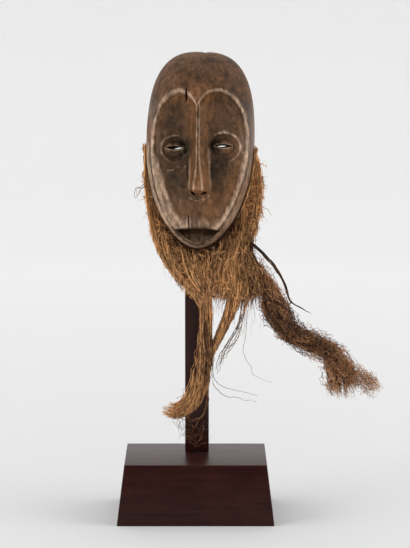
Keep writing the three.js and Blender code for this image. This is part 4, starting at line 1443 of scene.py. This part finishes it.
def tail_fibres(rng, total, steps):
    """Paths and tones of the dark tail: its smooth core, the frizz all over it, and its loose wisp."""
    core = bundle_paths(rng, total // 12, steps, DARK_TAIL, (0.0, 0.8), (0.2, 0.4), twist=0.4, fill=0.85)
    core, core_tones = clumped(core, rng.normal(0.25, 0.2, len(core)), rng, 3, 0.9)
    frizz = bundle_paths(rng, total // 3, steps, DARK_TAIL, (-0.02, 0.9), (0.07, 0.12), twist=0.5)
    frizz, frizz_tones = clumped(frizz, rng.normal(0.5, 0.3, len(frizz)), rng, 2, 0.9)
    turned = frizz[:, -1] - frizz[:, 0]
    lean = rng.normal(0, 0.33, (len(frizz), 1))
    aside = np.cross([0, 1, 0], turned) * lean
    frizz = frizz + aside[:, None] * (np.linspace(0, 1, steps + 1)[None, :, None] - 0.5)
    level = frizz[:, -1, 2]
    frizz_tones = frizz_tones + 1.2 * smooth(126, 104, level) + 1.0 * smooth(145, 165, level)
    wisp = bundle_paths(rng, total // 7, steps, TAIL_WISP, (-0.1, 0.75), (0.2, 0.35), twist=1.2)
    paths = [crimp(core, rng, 0.7, 7), crimp(frizz, rng, 1.1, 4.2, 0.2), crimp(wisp, rng, 1.5, 6, 0.3)]
    tones = [core_tones, frizz_tones, rng.normal(1.0, 0.25, len(wisp))]
    return np.concatenate(paths), np.concatenate(tones), len(wisp)


class HangDarkFibre(bpy.types.Operator):
    """Hangs the frizzy dark tail with its loose tip, and the dark strand above it"""

    bl_idname = "heart_mask.hang_dark_fibre"
    bl_label = "Hang dark fibre"

    def execute(self, context):
        settings = context.scene.beard_settings
        rng = np.random.default_rng(TAIL_SEED)
        radius = settings.fibre_radius / MM
        material = dark_fibre()

        steps = 16
        paths, tones, wisps = tail_fibres(rng, settings.tail_fibres, steps)
        radii = thin_ends(rng, len(paths), steps, 0.85 * radius)
        radii[-wisps:] *= 0.7
        tail = lay_fibres("dark_tail_fibres", paths, radii, np.clip(tones, 0, 1.5))
        finish_piece(tail, material, "dark_fibre", "beard_dark_tail")

        count = 12
        steps = 30
        paths = bundle_paths(rng, count, steps, DARK_STRAND, (-0.04, 0.1), (0.6, 1.05), twist=0.7)
        paths = crimp(paths, rng, 0.15, 14)
        radii = thin_ends(rng, count, steps, 1.4 * radius)
        tones = np.clip(rng.normal(0.0, 0.12, count), 0, 1)
        strand = lay_fibres("dark_strand_fibres", paths, radii, tones)
        finish_piece(strand, material, "dark_fibre", "beard_dark_strand")
        return {"FINISHED"}


# Stray hairs that stand off by themselves, each by the points it runs through
STRAYS = (
    ((33, -8, 168), (24.2, -9, 141.8), (14.5, -9, 126.6), (13, -9, 111.4), (18.3, -9, 100), (46.8, -9, 92.3)),
    ((38.4, -7, 168), (37.7, -8, 141.8), (35.5, -9, 125.1), (40.7, -9, 115.2), (45.3, -9, 107.6),
     (57.3, -9, 102.2)),
    ((35.4, -8, 168), (31.7, -8, 145.6), (24.2, -9, 130.4), (18.2, -9, 119), (15.3, -9, 107.6)),
    ((37.6, -8, 168), (35.4, -8, 150.9), (30.2, -9, 135.7), (22.7, -9, 125.1), (19.7, -9, 115.2)),
    ((29, -8, 168), (22, -9, 149.4), (16, -9, 134.2), (13.7, -9, 125.1)),
    ((13, -9, 103.8), (16.8, -9, 96.1), (22.8, -9, 93.1), (46.8, -9, 87.7)),
    ((8.5, -12, 96), (8.5, -12, 86), (4.2, -12, 76.7), (-2.8, -12, 72.4), (-8.3, -12, 76.2)),
    ((-31, -6, 256), (-37, -6, 250), (-42, -6, 246), (-45, -6, 241)),
    ((36, -6, 208), (45, -8, 201), (56, -9, 187), (64, -9, 172), (69, -9, 164)),
    ((47, -7, 238), (51, -7, 234), (55, -7, 232), (57, -7, 228)),
)
# A stray that ends farther right than this is one hair, and the others are several side by side
SINGLE_BEYOND = 45
SIDE_BY_SIDE = 4

# Thin tangle of hairs below the curl of the long tress
LOW_CLUMP = {
    "points": ((-14, -11, 78), (-12, -11, 70), (-6, -10, 64), (1, -10, 60), (6, -10, 66), (8, -10, 74)),
    "across": (3, 4, 5, 5, 4, 3),
    "deep": (2, 2, 2, 2, 2, 2),
}

# Middle and spread of the tone, and thickness, of each kind of loose hair: the strays, those at the hem and
# at the ruff's edges, those along the long tress, the low clump and those round the tail
HAIR_LOOKS = (
    (0.25, 0.2, 1.7), (0.25, 0.2, 1), (0.4, 0.25, 0.7),
    (0.4, 0.25, 1), (0.1, 0.15, 1), (0.1, 0.1, 1),
)


def stray_paths(rng, steps):
    strays = []
    for line in STRAYS:
        hairs = 1 if line[-1][0] > SINGLE_BEYOND else SIDE_BY_SIDE
        for _ in range(hairs):
            wobble = rng.normal(0, 0.35 * hairs, (len(line), 3))
            wobble = wobble * np.linspace(0.4, 1.2, len(line))[:, None]
            strays.append(through((np.array(line, float) + wobble)[None], steps))
    return np.concatenate(strays)


class ScatterHairs(bpy.types.Operator):
    """Scatters the loose hairs round the beard"""

    bl_idname = "heart_mask.scatter_hairs"
    bl_label = "Scatter hairs"

    def execute(self, context):
        rng = np.random.default_rng(HAIR_SEED)
        radius = context.scene.beard_settings.fibre_radius / MM
        steps = 18
        strays = stray_paths(rng, steps)
        hem = crimp(hanging_paths(rng, 60, steps, (0.5, 0.95), (1.02, 1.25)), rng, 0.8, 14, 0.7)
        edge = np.concatenate([hanging_paths(rng, 40, steps, (0, 1), (0.3, 0.8)),
                               tangle_paths(rng, 50, steps, (0.9, 1), (1.6, 3.2), 6),
                               tangle_paths(rng, 40, steps, (0, 0.2), (1.6, 3.2), 5)])
        edge += np.linspace(0, 1, steps + 1)[None, :, None] * rng.normal(0, 1.8, (len(edge), 1, 3))
        tress = bundle_paths(rng, 60, steps, LONG_TRESS, (0.3, 0.75), (0.15, 0.35), fill=1.35)
        clump = bundle_paths(rng, 12, steps, LOW_CLUMP, (-0.1, 0.6), (0.3, 0.6), twist=1.5)
        tail = bundle_paths(rng, 140, steps, DARK_TAIL, (0.2, 0.85), (0.06, 0.12), fill=1.3)
        tail = crimp(tail, rng, 1.4, 7, 0.6)
        kinds = [crimp(strays, rng, 0.6, 13), hem, crimp(edge, rng, 0.8, 9), crimp(tress, rng, 1.1, 9),
                 crimp(clump, rng, 2.2, 7), tail]
        tones = []
        thickness = []
        for kind, (tone, spread, thick) in zip(kinds, HAIR_LOOKS):
            tones.append(rng.normal(tone, spread, len(kind)))
            thickness.append(np.full((len(kind), 1), thick))
        paths = np.concatenate(kinds)
        margin = rng.uniform(0.3, 1.4, len(paths))
        paths = keep_before_post(keep_outside_mask(paths, margin), rng)
        radii = thin_ends(rng, len(paths), steps, 0.6 * radius, tip=0.5) * np.concatenate(thickness)
        piece = lay_fibres("stray_hairs", paths, radii, np.clip(np.concatenate(tones), 0, 1))
        finish_piece(piece, golden_fibre(), "golden_fibre")
        return {"FINISHED"}


def fibre_look(name, darkest, middle, lightest):
    """Fibre whose tone runs from the darkest colour at 0 past the middle one at 0.5 to the lightest at 1."""
    look = Shader(name)
    tone = look.attribute("tone")
    patches = look.noise((170, 170, 170), detail=3)
    tone = look.plus(tone, look.ramp(patches, 0.3, 0.7, -0.2, 0.2))
    fleck = look.noise((1800, 1800, 600), detail=1)
    gap = look.noise((640, 640, 70), detail=2, roughness=0.6)
    colour = look.blend(darkest, middle, look.ramp(tone, 0, 0.5))
    colour = look.blend(colour, lightest, look.ramp(tone, 0.5, 1))
    # Dark streaks from the gap noise: painted shade between the fibres
    colour = look.blend(colour, darkest, look.ramp(gap, 0.5, 0.62, 0.0, 0.72))
    colour = look.blend(colour, darkest, look.ramp(fleck, 0.58, 0.75, 0.0, 0.7))
    look.set(Base_Color=colour, Roughness=0.55, Specular_IOR_Level=0.25)
    return look.material


def golden_fibre():
    settings = bpy.context.scene.beard_settings
    found = bpy.data.materials.get("golden_fibre_look")
    middle = [mix(dark, light, 0.42) for dark, light in zip(settings.brown, settings.golden)]
    return found or fibre_look("golden_fibre_look", settings.brown, middle, settings.golden)


def dark_fibre():
    settings = bpy.context.scene.beard_settings
    return fibre_look("dark_fibre_look", scaled(settings.dark, 0.3), scaled(settings.dark, 1.6),
                      scaled(settings.bleached, 1.5))


# Stand

def stand_block(name, node, slope=0.0):
    """The node's box with its edges rounded, drawn in at the top by the slope."""
    low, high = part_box(node)
    bm = bmesh.new()
    bmesh.ops.create_cube(bm, size=1)
    bmesh.ops.scale(bm, verts=bm.verts, vec=high - low)
    bmesh.ops.translate(bm, verts=bm.verts, vec=(low + high) / 2)
    for vertex in bm.verts:
        if vertex.co.z > (low.z + high.z) / 2:
            vertex.co.x -= math.copysign(slope, vertex.co.x)
            vertex.co.y -= math.copysign(slope, vertex.co.y)
    edge = bpy.context.scene.stand_settings.edge
    bmesh.ops.bevel(bm, geom=bm.edges[:], offset=edge, segments=4, affect="EDGES", profile=0.5, material=-1)
    mesh = to_mesh(name, bm)
    mesh.shade_smooth()
    mesh.set_sharp_from_angle(angle=math.radians(STAND_SHARP_FROM))
    return linked(name, mesh)


def stained_wood(name, scale):
    settings = bpy.context.scene.stand_settings
    look = Shader(name)
    grain = look.noise(scale, detail=5, roughness=0.6)
    pores = look.noise(scaled(scale, 6), detail=2)
    cloud = look.noise((30, 30, 30), detail=3)
    colour = look.blend(settings.stain, settings.grain, look.ramp(grain, 0.35, 0.75))
    colour = look.blend(colour, scaled(settings.grain, 1.5), look.ramp(cloud, 0.55, 0.8, 0.0, 0.5))
    colour = look.blend(colour, scaled(settings.stain, 0.35), look.ramp(pores, 0.6, 0.75, 0.0, 0.7))
    rough = look.ramp(grain, 0.3, 0.7, 0.26, 0.36)
    look.set(Base_Color=colour, Roughness=rough, IOR=1.27)
    look.bump(pores, 0.00012, 0.4)
    return look.material


class FinishStand(bpy.types.Operator):
    """Finishes the post and the tapered base block"""

    bl_idname = "heart_mask.finish_stand"
    bl_label = "Finish stand"

    def execute(self, context):
        post = stand_block("post_finished", "post")
        finish_piece(post, stained_wood("post_wood", (420, 420, 26)), "stand_wood", "post")
        base = stand_block("base_finished", "base_block", slope=BASE_TAPER * MM)
        finish_piece(base, stained_wood("base_wood", (24, 420, 420)), "stand_wood", "base_block")
        return {"FINISHED"}


# Stage

def soft_light(name, place, target, width, height, watts):
    data = bpy.data.lights.new(name, "AREA")
    data.shape = "RECTANGLE"
    data.size = width
    data.size_y = height
    data.energy = watts
    lamp = linked(name, data)
    lamp.location = place
    lamp.rotation_euler = (Vector(target) - Vector(place)).to_track_quat("-Z", "Y").to_euler()


def studio_floor():
    """A round floor that curves up into a low wall all round."""
    flat = FLOOR_RADIUS - FLOOR_BEND
    bend_steps = 16
    profile = [(0, 0), (flat, 0)]
    for step in range(1, bend_steps + 1):
        angle = step / bend_steps * math.pi / 2
        profile.append((flat + FLOOR_BEND * math.sin(angle), FLOOR_BEND - FLOOR_BEND * math.cos(angle)))
    profile.append((FLOOR_RADIUS, FLOOR_WALL_TOP))
    bm = bmesh.new()
    corners = [bm.verts.new((x, 0, z)) for x, z in profile]
    edges = [bm.edges.new(pair) for pair in zip(corners, corners[1:])]
    bmesh.ops.spin(bm, geom=corners + edges, cent=(0, 0, 0), axis=(0, 0, 1), angle=2 * math.pi, steps=96,
                   use_merge=True)
    bmesh.ops.remove_doubles(bm, verts=bm.verts, dist=1e-5)
    mesh = to_mesh("studio_floor", bm)
    mesh.shade_smooth()
    floor = linked("studio_floor", mesh)
    return floor


def pale_floor():
    """A floor painted lighter farther out and darker by the stand, and dark behind the camera, as painted
    light and shade.
    """
    settings = bpy.context.scene.stage_settings
    look = Shader("pale_floor")
    coordinates = look.add("ShaderNodeTexCoord").outputs["Object"]
    away = look.add("ShaderNodeVectorMath", operation="LENGTH")
    look.feed(away.inputs[0], coordinates)
    near, middle, far = ((share, share, share) for share in (settings.near, settings.middle, settings.far))
    colour = look.blend(near, middle, look.ramp(away.outputs["Value"], *FLOOR_TURNS_MIDDLE))
    colour = look.blend(colour, far, look.ramp(away.outputs["Value"], *FLOOR_TURNS_FAR))
    back = look.add("ShaderNodeSeparateXYZ", {"Vector": coordinates}).outputs["Y"]
    colour = look.blend(colour, FLOOR_DARK, look.ramp(back, *FLOOR_TURNS_DARK))
    look.set(Base_Color=colour, Roughness=0.9, Specular_IOR_Level=0.1)
    return look.material


def studio_air(behind, front):
    """Even light all round, weaker from the side where the camera stands."""
    world = bpy.data.worlds.new("studio_air")
    world.use_nodes = True
    tree = world.node_tree
    way = tree.nodes.new("ShaderNodeTexCoord")
    parts = tree.nodes.new("ShaderNodeSeparateXYZ")
    share = tree.nodes.new("ShaderNodeMapRange")
    for name, value in (("From Min", -0.9), ("From Max", 0.1), ("To Min", front), ("To Max", behind)):
        share.inputs[name].default_value = value
    tree.links.new(way.outputs["Generated"], parts.inputs["Vector"])
    tree.links.new(parts.outputs["Y"], share.inputs["Value"])
    background = tree.nodes["Background"]
    background.inputs["Color"].default_value = (1, 1, 1, 1)
    tree.links.new(share.outputs["Result"], background.inputs["Strength"])
    bpy.context.scene.world = world


def place_camera():
    data = bpy.data.cameras.new("camera")
    data.lens = CAMERA_LENS
    data.clip_start = 0.05
    data.clip_end = 50
    camera = linked("camera", data)
    camera.location = Vector(CAMERA_PLACE) * MM
    camera.rotation_euler = (math.radians(90 - CAMERA_PITCH), 0, 0)
    bpy.context.scene.camera = camera


class SetStage(bpy.types.Operator):
    """Sets the pale floor, the soft light and the camera"""

    bl_idname = "heart_mask.set_stage"
    bl_label = "Set stage"

    def execute(self, context):
        settings = context.scene.stage_settings
        studio_floor().data.materials.append(pale_floor())
        studio_air(settings.sky, FRONT_AIR_SHARE * settings.sky)
        for name, (place, target, width, height, share) in SOFTBOXES.items():
            soft_light(name, place, target, width, height, share * settings.softboxes)
        soft_light("back_softbox", *BACKLIGHT, settings.backlight)
        place_camera()
        context.scene.view_settings.view_transform = "Standard"
        return {"FINISHED"}


class MaskPanel(bpy.types.Panel):
    """Lists the mask's steps and settings"""

    bl_idname = "VIEW3D_PT_heart_mask"
    bl_label = "Heart-faced mask"
    bl_space_type = "VIEW_3D"
    bl_region_type = "UI"
    bl_category = "Mask"

    def draw(self, context):
        layout = self.layout
        for operator in OPERATORS:
            layout.operator(operator.bl_idname)
        for group in SETTINGS:
            settings = getattr(context.scene, group)
            box = layout.box()
            for name in settings.__annotations__:
                box.prop(settings, name)


OPERATORS = (CarveMask, TieRuff, HangTresses, HangDarkFibre, ScatterHairs, FinishStand, SetStage)
SETTINGS = {
    "mask_settings": MaskSettings,
    "beard_settings": BeardSettings,
    "stand_settings": StandSettings,
    "stage_settings": StageSettings,
}
CLASSES = (*SETTINGS.values(), *OPERATORS, MaskPanel)


def register():
    for item in CLASSES:
        bpy.utils.register_class(item)
    for name, group in SETTINGS.items():
        setattr(bpy.types.Scene, name, PointerProperty(type=group))


def unregister():
    for name in SETTINGS:
        delattr(bpy.types.Scene, name)
    for item in reversed(CLASSES):
        bpy.utils.unregister_class(item)


def main():
    register()
    bpy.ops.heart_mask.carve_mask()
    bpy.ops.heart_mask.tie_ruff()
    bpy.ops.heart_mask.hang_tresses()
    bpy.ops.heart_mask.hang_dark_fibre()
    bpy.ops.heart_mask.scatter_hairs()
    bpy.ops.heart_mask.finish_stand()
    bpy.ops.heart_mask.set_stage()


if __name__ == "__main__":
    main()
